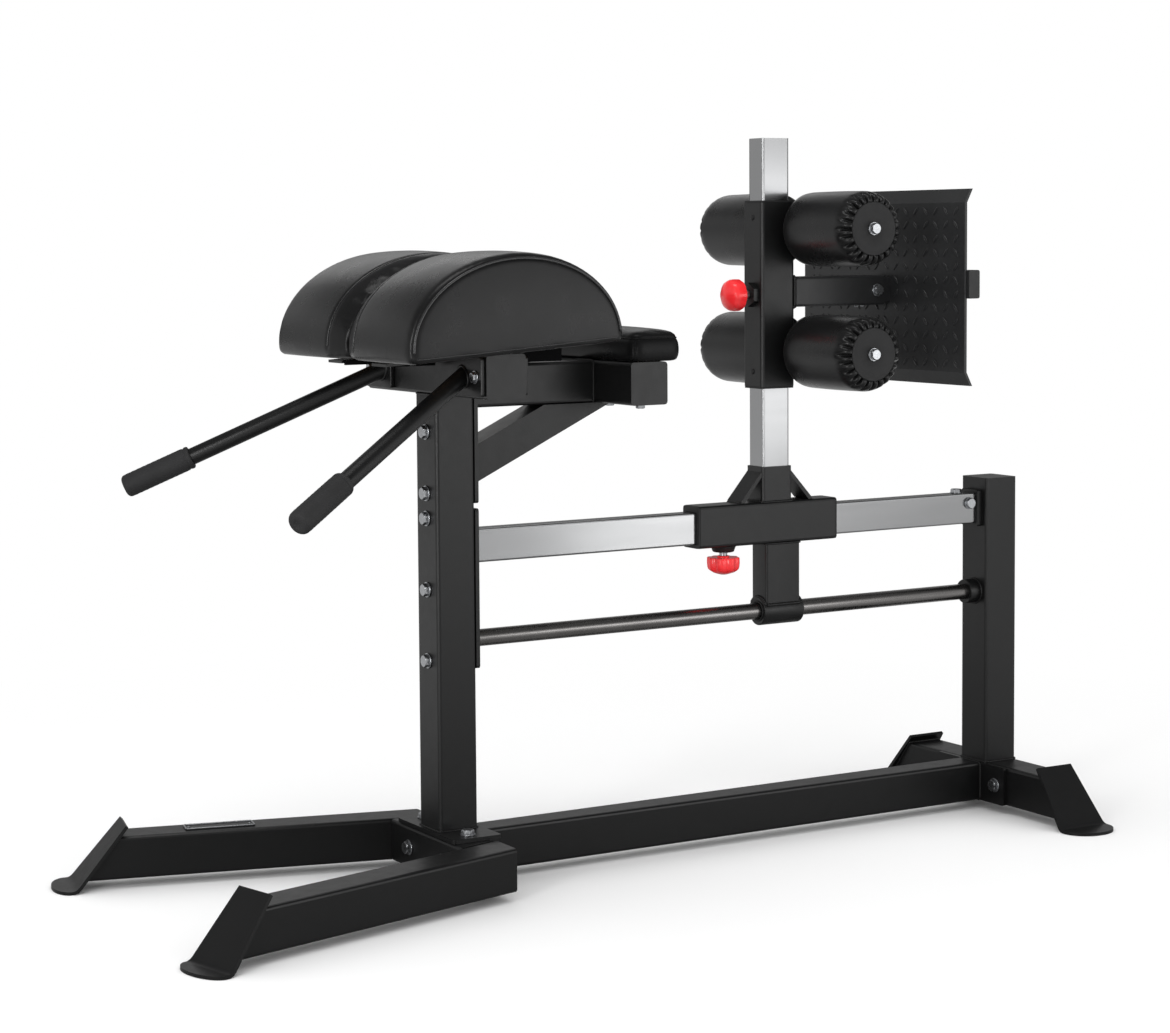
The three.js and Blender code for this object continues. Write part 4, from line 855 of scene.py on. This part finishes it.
def knob_mesh(matrix, valley, radius):
    """A star knob hanging below z = 0: flat fluted rim above, a soft dome below."""
    lobes, body, dome = 8, 22.0, 5.5
    count = lobes * 14
    # Each level is its radius, its share of the flutes and its depth.
    levels = [(9.5, 0.0, 0.0), (12.0, 0.0, 0.0), (radius - 3.2, 0.4, 0.0), (radius - 1.0, 0.9, 0.0)]
    levels += [(radius, 1.0, 0.9), (radius + 0.2, 1.0, body * 0.4), (radius - 0.4, 1.0, body * 0.68)]
    levels += [(radius - 1.6, 0.85, body * 0.84), (radius - 4.2, 0.6, body * 0.95)]
    levels += [(radius - 8.5, 0.3, body + dome * 0.25), (radius - 14, 0.1, body + dome * 0.6)]
    levels += [(radius - 20, 0.0, body + dome * 0.9), (0.4, 0.0, body + dome)]
    rings = []
    for size, fluting, depth in levels:
        ring = []
        for i in range(count):
            angle = TURN * i / count
            reach = size - valley * fluting * (0.5 - 0.5 * math.cos(lobes * angle)) ** 1.7
            ring.append((reach * math.cos(angle), reach * math.sin(angle), -depth))
        rings.append(ring)
    collar = [(0.4, 0.0), (9.4, 0.0), (9.4, 1.9), (8.6, 2.6), (0.4, 2.6)]
    neck = turned_mesh("neck", collar, 40, matrix)
    return joined("knob", [rings_mesh("star", rings, matrix=matrix), neck])


def add_lock(which, tip, gap, valley, radius, matrix):
    """A pull pin with its tip up z, a bright shaft between the housing and the knob."""
    shaft = [(0.3, tip), (4.2, tip), (5.9, tip - 2.2), (5.9, gap), (5.9, gap - 0.6), (7.2, gap - 0.6)]
    shaft += [(7.2, gap - 2.2), (6.2, gap - 2.6), (6.2, 3.0), (6.9, 2.6), (6.9, -10.0), (0.3, -10.0)]
    body = f"{which}_lock"
    add_fine(f"{which}_pin", turned_mesh("pin", shaft, 32, matrix), "zinc", body)
    add_fine(f"{which}_knob", knob_mesh(matrix, valley, radius), "red_plastic", body, 40)


def add_rail_lock():
    """The pin under the carriage, in a soft-edged black housing round the plain one."""
    nut_top, nut_height, gap = 468, 9, 9
    knob_top = nut_top - nut_height - gap
    add_lock("rail", 480.5 - knob_top, gap, 3.4, 25.6, Matrix.Translation(at(524, 0, knob_top)) @ MILLI)
    housing = [(7.4, -9.5), (15.0, -9.5), (16.8, -8.4), (19.2, -1.6), (20.3, -0.5), (20.6, 0.4), (7.4, 0.4)]
    matrix = Matrix.Translation(at(524, 0, nut_top)) @ MILLI
    nut = turned_mesh("rail_lock_nut", housing, 56, matrix, closed=True)
    add_piece("rail_lock_nut", nut, "dark_plastic", "carriage", sharp=40)


def add_mast_lock():
    """The pin in front of the mast, with a flatter knob."""
    nut_face, nut_height, gap = 580.6, 9, 17
    knob_top = nut_face - nut_height - gap
    matrix = Matrix.Translation(at(knob_top, 0, 858)) @ Matrix.Rotation(math.pi / 2, 4, "Y") @ MILLI
    add_lock("mast", 593.1 - knob_top, gap, 0.8, 24.6, matrix)


# Handles

HANDLE = {"radius": 12.7, "start_y": 122.0, "rise": 34.0, "yaw": 27.2, "dip": 24.0, "length": 425.0}
HANDLE_PLATE = {"half": 27.75, "thickness": 6.0, "corner": 4.0}
GRIP = {"radius": 17.2, "length": 110.0, "end_wall": 6.0, "ribs": 22, "round": 7.0}
PAD_TUBE_BOTTOM = 725.1


def cut_behind(mesh, place):
    """Cuts away what lies behind a place along x and closes the cut."""
    work = bmesh.new()
    work.from_mesh(mesh)
    parts = [*work.verts, *work.edges, *work.faces]
    bmesh.ops.bisect_plane(work, geom=parts, plane_co=place, plane_no=X, clear_outer=True)
    bmesh.ops.edgeloop_fill(work, edges=[edge for edge in work.edges if edge.is_boundary])
    bmesh.ops.recalc_face_normals(work, faces=work.faces)
    work.to_mesh(mesh)
    work.free()


def grip_profile():
    """From the collar over the ribs to the rounded end, and back along the bore."""
    bar_end = HANDLE["length"] + CLEAR
    end = bar_end + GRIP["end_wall"]
    low = end - GRIP["length"]
    bore, radius, soft, ribs = HANDLE["radius"] + CLEAR, GRIP["radius"], GRIP["round"], GRIP["ribs"]
    profile = [(bore, low), (bore + 2.6, low), (bore + 3.9, low + 0.9), (bore + 4.3, low + 2.2)]
    profile += [(bore + 4.3, low + 5.5), (bore + 3.4, low + 6.6), (bore + 3.4, low + 8.0)]
    profile.append((radius, low + 9.4))
    for i in range(ribs + 1):
        profile.append((radius + 0.25 * (i % 2), low + 11 + (end - 9 - low - 11) * i / ribs))
    for i in range(1, 8):
        angle = math.pi / 2 * i / 7
        profile.append((radius - soft * (1 - math.cos(angle)), end - soft + soft * math.sin(angle)))
    return profile + [(6.0, end + 0.3), (5.4, end - 0.2), (0.3, end - 0.4), (0.3, bar_end), (bore, bar_end)]


def add_handle(name, side):
    """A plate before the pad tube and one behind it, bolted together, and a leaning bar."""
    yaw, dip = math.radians(HANDLE["yaw"]), math.radians(HANDLE["dip"])
    flat = math.cos(dip)
    direction = Vector((-flat * math.cos(yaw), side * flat * math.sin(yaw), -math.sin(dip)))
    start = at(-CLEAR, side * HANDLE["start_y"], PAD_TUBE_BOTTOM + HANDLE["rise"])
    middle_z = PAD_TUBE_BOTTOM + TUBE["side"] / 2
    half, thick, corner = HANDLE_PLATE["half"], HANDLE_PLATE["thickness"], HANDLE_PLATE["corner"]
    front = plate_mesh("front", at(-CLEAR, side * 137.5, middle_z), Y, Z, -X, 40.5, half, thick, corner)
    back_face = at(TUBE["side"] + CLEAR, side * 154, middle_z)
    back = plate_mesh("back", back_face, Y, Z, X, 24, half, thick, corner)
    bar = bar_mesh("bar", start - direction * 2 * MM, direction, HANDLE["length"] + 2, HANDLE["radius"], 1.0)
    cut_behind(bar, at(-CLEAR - thick / 2, 0, 0))
    add_fine(f"handle_{name}", joined("handle", [front, back, bar]), "black_paint", "frame")
    # The weld round the bar's root is an ellipse on the plate's face
    face = at(-CLEAR - thick, 0, 0).x
    across = direction.orthogonal().normalized()
    ring = circle_path(start, across, direction.cross(across).normalized(), HANDLE["radius"] + 0.6, 64)
    weld("frame", [point + direction * ((face - point.x) / direction.x) for point in ring], 2.2, True)

    grip = turned_mesh("grip", grip_profile(), 48, standing(start, direction), closed=True)
    add_fine(f"grip_{name}", grip, "rubber", "frame", 50)
    for end, x, way in (("front", -CLEAR - thick, -1), ("rear", TUBE["side"] + CLEAR + thick, 1)):
        place = at(x, side * 160, middle_z)
        small_bolt(f"handle_{name}_bolt_{end}", place, (way, 0, 0), "frame", 13, 5, 9.5)


# Feet

# The height up to which a foot is welded to its tube
FOOT_WELD_TOP = 77.5


def foot_mesh(name, foot, matrix):
    """A leaning plate rolled outwards along the floor into a round tongue."""
    height = FOOT_WELD_TOP + foot["rise"]
    lean = math.tan(foot["tilt"])
    thick = foot["thickness"]
    bend = 9.0
    drop = bend / math.sqrt(1 + lean * lean)
    path = []
    top_run = 12
    for i in range(top_run + 1):
        z = height - (height - drop) * i / top_run
        path.append((lean * (height - z), z))
    floor_x = lean * height
    for i in range(1, 7):
        end = i / 7
        start = 1 - end
        x = start * start * lean * (height - drop) + 2 * start * end * floor_x + end * end * (floor_x + bend)
        path.append((x, start * start * drop))
    path.append((floor_x + bend, 0.0))
    reach = foot["flange"]
    for i in range(1, 15):
        angle = math.pi / 2 * i / 14
        path.append((floor_x + bend + (reach - bend) * math.sin(angle), 0.0))
    rows = []
    for i, (x, z) in enumerate(path):
        if x <= floor_x + bend:
            share = 1 - z / height
            half = (foot["top"] + (foot["bottom"] - foot["top"]) * share) / 2
        else:
            run = (x - floor_x - bend) / (reach - bend)
            half = foot["bottom"] / 2 * math.sqrt(max(1 - run * run, 0.0)) + 0.4
        before, after = path[max(i - 1, 0)], path[min(i + 1, len(path) - 1)]
        dx, dz = after[0] - before[0], after[1] - before[1]
        size = math.hypot(dx, dz) or 1.0
        nx, nz = -dz / size, dx / size
        rows.append((x, z, half, nx, nz))
    across = 20
    points, faces = [], []
    for layer in (0, 1):
        for x, z, half, nx, nz in rows:
            for k in range(across + 1):
                y = half * (2 * k / across - 1)
                points.append((x + nx * thick * layer, y, z + nz * thick * layer))

    def joining(first, second):
        return [(a, a + 1, b + 1, b) for a, b in zip(first[:-1], second[:-1])]

    strips = [range(start, start + across + 1) for start in range(0, len(points), across + 1)]
    lower, upper = strips[:len(rows)], strips[len(rows):]
    for i in range(len(rows) - 1):
        faces += joining(lower[i], lower[i + 1]) + joining(upper[i], upper[i + 1])
        for k in (0, across):
            faces.append((lower[i][k], upper[i][k], upper[i + 1][k], lower[i + 1][k]))
    faces += joining(lower[0], upper[0]) + joining(lower[-1], upper[-1])
    return mesh_from(name, [matrix @ Vector((x * MM, y * MM, z * MM)) for x, y, z in points], faces)


FRONT_FOOT = {
    "tilt": math.radians(40), "rise": 14.0, "top": 67.0, "bottom": 92.0, "flange": 34.0, "thickness": 5.0,
}
REAR_FOOT = {
    "tilt": math.radians(38), "rise": 10.5, "top": 70.0, "bottom": 92.0, "flange": 48.0, "thickness": 5.0,
}
LEG = {"root_x": 40.0, "root_y": 129.0, "splay": 14.0, "length": 439.0, "label_from_foot": 140.0}


def leg_matrix(side):
    """Stands at a leg's root on the floor, with x along the leg."""
    turn = Matrix.Rotation(side * math.radians(180 - LEG["splay"]), 4, "Z")
    return Matrix.Translation(at(LEG["root_x"], side * LEG["root_y"], 0)) @ turn


def add_feet():
    for name, side in SIDES.items():
        front = leg_matrix(side) @ Matrix.Translation((LEG["length"] * MM, 0, 0))
        turn = Matrix.Rotation(side * math.pi / 2, 4, "Z")
        rear = Matrix.Translation(at(REAR_POST_X, side * 158, 0)) @ turn
        for which, foot, matrix, half in (("front", FRONT_FOOT, front, 30), ("rear", REAR_FOOT, rear, 31.75)):
            node = f"{which}_foot_{name}"
            mesh = foot_mesh(node, foot, matrix)
            bevelled(add_fine(node, mesh, "black_paint", "frame", 40), 0.7, 50)
            lean = math.tan(foot["tilt"])
            height = FOOT_WELD_TOP + foot["rise"]

            def on_plate(y, z):
                return matrix @ Vector(((height - z) * lean * MM, y * MM, z * MM))

            low, high = 14, FOOT_WELD_TOP
            corners = [on_plate(-half, low), on_plate(half, low), on_plate(half, high), on_plate(-half, high)]
            weld("frame", around(corners), 2.0, True)


# Foot plate lugs

PLATE = {"front": 832.7, "half": 205.0, "low": 736.0, "high": 998.0}


def add_lugs():
    """Raised lens-shaped lugs, turned alternately, on the plate's front face."""
    pitch_y, pitch_z, sides = 24.5, 21.5, 20
    columns = int(2 * (PLATE["half"] - 10) / pitch_y)
    rows = int((PLATE["high"] - PLATE["low"] - 8) / pitch_z)
    lugs = bmesh.new()
    for i in range(columns + 1):
        for j in range(rows + 1):
            y = (i - columns / 2) * pitch_y
            z = (PLATE["low"] + PLATE["high"]) / 2 + (j - rows / 2) * pitch_z
            turn = math.radians(40 if (i + j) % 2 else -40)
            place = Matrix.Translation(at(PLATE["front"], y, z)) @ Matrix.Rotation(turn, 4, "X")
            rings = []
            for lift, grow in ((0.35, 1.0), (-0.7, 0.86), (-1.3, 0.5)):
                ring = []
                for k in range(sides):
                    angle = TURN * k / sides
                    long, short = math.cos(angle), math.sin(angle)
                    width = 2.6 * short * abs(short) ** 0.35
                    point = Vector((lift, width * grow, 8.6 * long * (0.7 + 0.3 * grow)))
                    ring.append(lugs.verts.new(place @ (point * MM)))
                rings.append(ring)
            for a, b in zip(rings, rings[1:]):
                for k in range(sides):
                    lugs.faces.new((a[k], a[(k + 1) % sides], b[(k + 1) % sides], b[k]))
            lugs.faces.new(rings[-1])
    bmesh.ops.recalc_face_normals(lugs, faces=lugs.faces)
    mesh = bpy.data.meshes.new("lugs")
    lugs.to_mesh(mesh)
    lugs.free()
    # The lugs wear the plate's lighter coat, painted light.
    add_piece("foot_plate_lugs", mesh, "plate_paint_lit", "roller_carriage")


# Pad battens, rod, lower neck, welds and small trim

def add_pad_battens():
    """Battens in black cloth under the pads, before and behind the tube that carries them; the matt cloth is
    painted shade.
    """
    outlines = {
        "front": [(-8, 769), (-108, 769), (-108, 776.0), (-8, 783.2)],
        "rear": [(66, 769), (204, 769), (204, 798.2), (66, 788.8)],
    }
    for name, side in SIDES.items():
        for which, outline in outlines.items():
            rings = [[at(x, side * y, z) for x, z in outline] for y in (42.0, 47.6)]
            mesh = rings_mesh("batten", rings)
            # The battens wear the matt black cloth, painted shade.
            bevelled(add_piece(f"pad_batten_{which}_{name}", mesh, "shade_cloth", "frame"), 0.8)


def add_rod():
    """The guide rod, with a welded socket ring behind and a thin ring in front."""
    bar = bar_mesh("rod", at(70.1, 0, ROD_Z), X, 954.6, 12.7, 1.0, 56)
    add_fine("guide_rod", bar, "gunmetal", "frame", 50)
    socket = bar_mesh("socket", at(1004.2, 0, ROD_Z), X, 21.0, 19.8, 1.6, 56, 13.1)
    add_piece("rod_socket_ring", socket, "black_paint", "frame", sharp=45)
    weld("frame", circle_path(at(1024.8, 0, ROD_Z), Y, Z, 20.4, 72), 1.8, True)
    ring = bar_mesh("front_socket", at(70.0, 0, ROD_Z), X, 5.0, 17.5, 1.2, 48, 12.9)
    add_piece("rod_front_ring", ring, "black_paint", "frame", sharp=45)


def add_lower_neck():
    """A square tube saddled over a round sleeve that runs on the rod."""
    tube = rings_mesh("neck", [rounded_loop(at(624.5, 0, z), X, Y, 32.5, 20, 4, 6) for z in (373.0, 467.7)])
    sleeve = bar_mesh("sleeve", at(588.0, 0, ROD_Z), X, 76.0, 22.5, 2.0, 64, 13.2)
    add_fine("carriage_lower_neck", joined("neck", [tube, sleeve]), "black_paint", "carriage", 40)
    # The saddle's weld runs along the sleeve's flanks and over its crown at both ends
    top = ROD_Z + math.sqrt(22.5 ** 2 - 20.0 ** 2) + 1.0
    for y in (-20.6, 20.6):
        weld("carriage", straight(at(593, y, top), at(656, y, top)), 2.4)
    angles = [math.radians(62 * i / 24) for i in range(-24, 25)]
    for x in (591.4, 657.6):
        crown = [at(x, 22.6 * math.sin(angle), ROD_Z + 22.6 * math.cos(angle)) for angle in angles]
        weld("carriage", crown, 2.4)
    liner = bar_mesh("liner", at(587.2, 0, ROD_Z), X, 77.6, 16.2, 0.8, 48, 13.1)
    add_piece("rod_sleeve_liner", liner, "dark_plastic", "carriage")


def add_welds():
    # Neck on the carriage sleeve and its braces
    weld_loop("carriage", at(612, 0, 534.3), X, Y, 28.8, 22.4, 5, 1.8)
    for x in (545.0, 680.3):
        weld("carriage", straight(at(x, -19, 534.4), at(x, 19, 534.4)), 1.8)
    weld_loop("carriage", at(624.5, 0, 467.6), X, Y, 33.0, 20.6, 4, 1.7)
    # Foot arm and roller plates on the roller sleeve
    weld_loop("roller_carriage", at(643.9, 0, 861.5), Y, Z, 24.8, 23.8, 4, 2.7)
    for height in ROLLER_HEIGHTS.values():
        for z in (height - 14, height + 14):
            weld("roller_carriage", straight(at(643.6, -20, z), at(643.6, 20, z)), 1.6)
    # Posts on their plates, the beam on its flanges, the top tube, the rail and the strut
    weld_loop("frame", at(FRONT_POST_X, 0, 84.0), X, Y, 32.2, 32.2, 5)
    weld_loop("frame", at(REAR_POST_X, 0, 77.9), X, Y, 32.2, 32.2, 5, 1.8)
    for x, z, half_y, half_z, corner, radius in (
        (62.0, BEAM_Z, 25.9, 31.0, 5, 1.8), (1018.7, BEAM_Z, 25.9, 31.0, 5, 1.8),
        (70.2, TOP_TUBE_Z, 25.4, 32.0, 5, 1.8), (272.3, TOP_TUBE_Z, 25.4, 31.5, 5, 1.6),
        (70.2, 499, 15.4, 25.4, 3, 1.5),
    ):
        weld_loop("frame", at(x, 0, z), Y, Z, half_y, half_z, corner, radius)
    weld("frame", straight(at(32, -32, 725.0), at(32, 32, 725.0)), 0.6)
    weld_loop("frame", at(FRONT_POST_X, 0, 725.0), X, Y, 31.4, 31.4, 5, 1.5)
    strut_low = 593.8
    high = strut_low + 50 / math.cos(math.radians(25))
    weld_loop("frame", at(70.3, 0, (strut_low + high) / 2), Y, Z, 25.2, (high - strut_low) / 2 + 0.4, 1, 1.8)
    for body, meshes in WELDS.items():
        add_piece(f"{body}_welds", joined("welds", meshes), "black_paint", body)


def add_small_bolts():
    for name, place, direction in (("side", (1002, -15.4, 508), -Y), ("stop", (987, 0, 524.4), Z)):
        small_bolt(f"rail_{name}_bolt", at(*place), direction, "frame", 15.8, 5.6, 9.8)
    for name, side in SIDES.items():
        place = at(804.7, side * 25.2, 861.5)
        small_bolt(f"foot_arm_bolt_{name}", place, (0, side, 0), "roller_carriage", 15.8, 5.6, 10)
        for y in (20, 105):
            small_bolt(f"seat_bolt_{name}_{y}", at(304.15, side * y, 703.4), -Z, "frame", 12, 5, 8.5)
    screw = [(0.3, -0.6), (4.4, -0.6), (4.4, 0.5), (3.9, 1.3), (2.7, 1.9), (1.2, 2.1), (0.3, 2.1)]
    for z in (738, 978):
        head = turned_mesh("screw", screw, 28, standing(at(580.6, 0, z), -X))
        add_piece(f"sleeve_screw_{z}", head, "dark_plastic", "roller_carriage")
    screw = [(0.3, -0.4), (3.2, -0.4), (3.2, 2.4), (2.4, 3.4), (0.3, 3.6)]
    for shift in (0, 12):
        head = turned_mesh("screw", screw, 24, standing(at(783.0 + shift, 0, 838.0), -Z))
        add_piece(f"arm_screw_{shift}", head, "zinc", "roller_carriage")


def add_backing_caps():
    """Plain caps that close the ends of the bar behind the foot plate."""
    for name, side in SIDES.items():
        cap = plate_mesh("cap", at(847.9, side * 208.1, 872), X, Z, Y * side, 10.9, 21.9, 2.0, 3)
        add_piece(f"backing_cap_{name}", cap, "black_paint", "roller_carriage", sharp=40)


def add_label_trim():
    """A bright rim and two plain rivets on the bare plate."""
    along = (LEG["length"] - LEG["label_from_foot"]) * MM
    place = leg_matrix(1) @ Matrix.Translation((along, 0, 78.9 * MM))
    rivet = [(0.3, -0.3), (2.4, -0.3), (2.3, 0.5), (1.6, 1.1), (0.3, 1.3)]
    meshes = []
    for x in (-46, 46):
        matrix = place @ Matrix.Translation((x * MM, 0, 0)) @ MILLI
        meshes.append(turned_mesh("rivet", rivet, 24, matrix))
    rim = rounded_loop(Z * 0.4 * MM, X, Y, 51.2, 13.7, 2.5)
    meshes.append(swept_mesh("rim", [place @ point for point in around(rim, 2)], 1.4, 8, True, up=Z))
    add_piece("label_rim", joined("rim", meshes), "zinc", "frame")


# Camera, light and floor

IMAGE_WIDTH = 1170
CAMERA = {
    "place": (-1.7813, -3.3388, 0.957), "yaw": 28.742, "pitch": 4.0, "roll": -0.579,
    "focal_pixels": 2601.8, "shift": (0.1107, -0.0858),
}


def add_camera():
    """Stands at the photograph's eye, a little above the mast, looking across the machine."""
    data = bpy.data.cameras.new("camera")
    camera = bpy.data.objects.new("camera", data)
    bpy.context.scene.collection.objects.link(camera)
    data.sensor_fit = "HORIZONTAL"
    data.sensor_width = 36.0
    data.lens = CAMERA["focal_pixels"] / IMAGE_WIDTH * data.sensor_width
    data.shift_x, data.shift_y = CAMERA["shift"]
    data.clip_start, data.clip_end = 0.05, 60.0
    yaw, pitch, roll = (math.radians(CAMERA[angle]) for angle in ("yaw", "pitch", "roll"))
    camera.location = Vector(CAMERA["place"]) - X * ORIGIN_X * MM
    forward = Vector((math.sin(yaw) * math.cos(pitch), math.cos(yaw) * math.cos(pitch), -math.sin(pitch)))
    camera.rotation_mode = "QUATERNION"
    camera.rotation_quaternion = forward.to_track_quat("-Z", "Y") @ Quaternion((0, 0, 1), roll)
    bpy.context.scene.camera = camera


# The world's brightness to light that spreads and in reflections. Reflections dim behind the
# machine, between two heights of the view, and overhead.
DIFFUSE_LEVEL = 0.93
GLOSSY_LEVEL = 0.62
DARK_LEVEL = 0.1
DARK_WAY = (0.47, 0.88, 0.0)
DARK_HEIGHTS = (0.28, 0.08)
TOP_LEVEL = 0.16
TOP_HEIGHTS = (0.25, 0.55)


# Each lamp is its name, place, aim, size in metres and power in watts.

LAMPS = [
    ("top_box", (-0.6, -0.4, 3.0), (0.0, 0.0, 0.6), (1.6, 0.8), 14),
    ("left_strip", (-3.3, -1.95, 1.2), (-0.2, 0.0, 0.8), (0.6, 2.2), 38),
    ("rail_card", (1.8, -2.6, 0.16), (0.0, 0.0, 0.5), (0.5, 0.32), 1.0),
    ("right_card", (1.4, -2.6, 0.74), (0.0, 0.0, 0.7), (2.1, 0.74), 9),
    ("right_box", (2.7, -4.3, 1.7), (0.0, 0.0, 0.8), (3.0, 1.8), 10),
    ("back_box", (1.2, 3.4, 2.6), (0.2, 0.0, 0.6), (2.4, 1.2), 5),
]


def add_area(name, place, target, size, power):
    data = bpy.data.lights.new(name, "AREA")
    data.shape = "RECTANGLE"
    data.size, data.size_y = size
    data.energy = power
    lamp = bpy.data.objects.new(name, data)
    lamp.visible_camera = False
    bpy.context.scene.collection.objects.link(lamp)
    lamp.location = place
    lamp.rotation_mode = "QUATERNION"
    lamp.rotation_quaternion = (Vector(target) - Vector(place)).to_track_quat("-Z", "Y")


def add_world():
    """Plain white to the eye; what surfaces see of it is dimmer here and there."""
    world = bpy.data.worlds.new("studio")
    bpy.context.scene.world = world
    world.use_nodes = True
    tree = world.node_tree
    tree.nodes.clear()
    n = Nodes(tree)
    out = tree.nodes.new("ShaderNodeOutputWorld")
    ray = tree.nodes.new("ShaderNodeLightPath").outputs
    way = n.add("TexCoord", "Generated", {})
    height = n.add("SeparateXYZ", "Z", {0: way})
    toward = n.add("VectorMath", "Value", {0: way, 1: DARK_WAY}, operation="DOT_PRODUCT")
    low_down = n.ramp(height, 0.0, 1.0, *DARK_HEIGHTS, "SMOOTHSTEP")
    overhead = n.ramp(height, GLOSSY_LEVEL, TOP_LEVEL, *TOP_HEIGHTS, "SMOOTHSTEP")
    behind = n.ramp(low_down, overhead, DARK_LEVEL, 0.0, 1.0, "SMOOTHSTEP")
    mirrored = n.ramp(toward, overhead, behind, 0.5, 0.85, "SMOOTHSTEP")
    level = n.blend(ray["Is Glossy Ray"], DIFFUSE_LEVEL, mirrored, "FLOAT")
    unlit = {0: ray["Is Camera Ray"], 1: ray["Is Transmission Ray"]}
    white = n.add("Math", "Value", unlit, operation="MAXIMUM")
    lit = n.add("Background", "Background", {"Color": grey(1.0), "Strength": level})
    seen = n.add("Background", "Background", {"Color": grey(1.0)})
    n.fill(out.inputs["Surface"], n.add("MixShader", "Shader", {0: white, 1: lit, 2: seen}))


def grey(tone):
    return tone, tone, tone


def add_studio():
    """A white world, soft lamps round the machine and a floor that takes its shadow."""
    scene = bpy.context.scene
    scene.view_settings.view_transform = "Standard"
    add_world()
    for lamp in LAMPS:
        add_area(*lamp)
    mesh = bpy.data.meshes.new("floor")
    half = 14.0
    corners = [(-half, -half, 0), (half, -half, 0), (half, half, 0), (-half, half, 0)]
    mesh.from_pydata(corners, [], [(0, 1, 2, 3)])
    floor = bpy.data.objects.new("floor", mesh)
    scene.collection.objects.link(floor)
    mesh.materials.append(floor_material())


def floor_material():
    """A floor as white as paper to the eye; to other light it is grey and darker near the machine, which is
    painted shade.

    It takes the shadow near the machine and turns plain white farther off.
    """
    s = Shader("floor_white", Roughness=0.9, Specular_IOR_Level=0.0)
    seen = s.add("LightPath", "Is Camera Ray", {})
    distance = s.add("VectorMath", "Value", {0: s.place}, operation="LENGTH")
    # Painted shade: the floor that the machine reflects and takes bounce light from is darker close to it.
    shaded_floor_colour = s.blend(s.ramp(distance, 0.0, 1.0, 0.8, 2.0), grey(0.3), grey(0.75))
    paper = s.blend(s.noise(1.5, 2.0), grey(0.93), grey(0.95))
    s.fill(s.shader.inputs["Base Color"], s.blend(seen, shaded_floor_colour, paper))
    far = s.ramp(distance, 0.0, 1.0, 0.95, 2.0)
    share = s.add("Math", "Value", {0: far, 1: seen}, operation="MULTIPLY")
    white = s.add("Emission", "Emission", {"Strength": 1.0})
    mix = s.add("MixShader", "Shader", {0: share, 1: s.shader.outputs[0], 2: white})
    s.fill(s.tree.nodes["Material Output"].inputs["Surface"], mix)
    return s.material


add_camera()
dress_cad_nodes()
add_bolts()
for side_name, way in SIDES.items():
    add_thigh_pad(f"thigh_pad_{side_name}", way)
    add_handle(side_name, way)
add_seat_pad()
for level_name in ROLLER_HEIGHTS:
    add_axle(level_name)
    for side_name, way in SIDES.items():
        add_roller(level_name, side_name, way)
add_rail_lock()
add_mast_lock()
add_feet()
add_pad_battens()
add_lugs()
add_rod()
add_lower_neck()
add_welds()
add_small_bolts()
add_backing_caps()
add_label_trim()
add_studio()
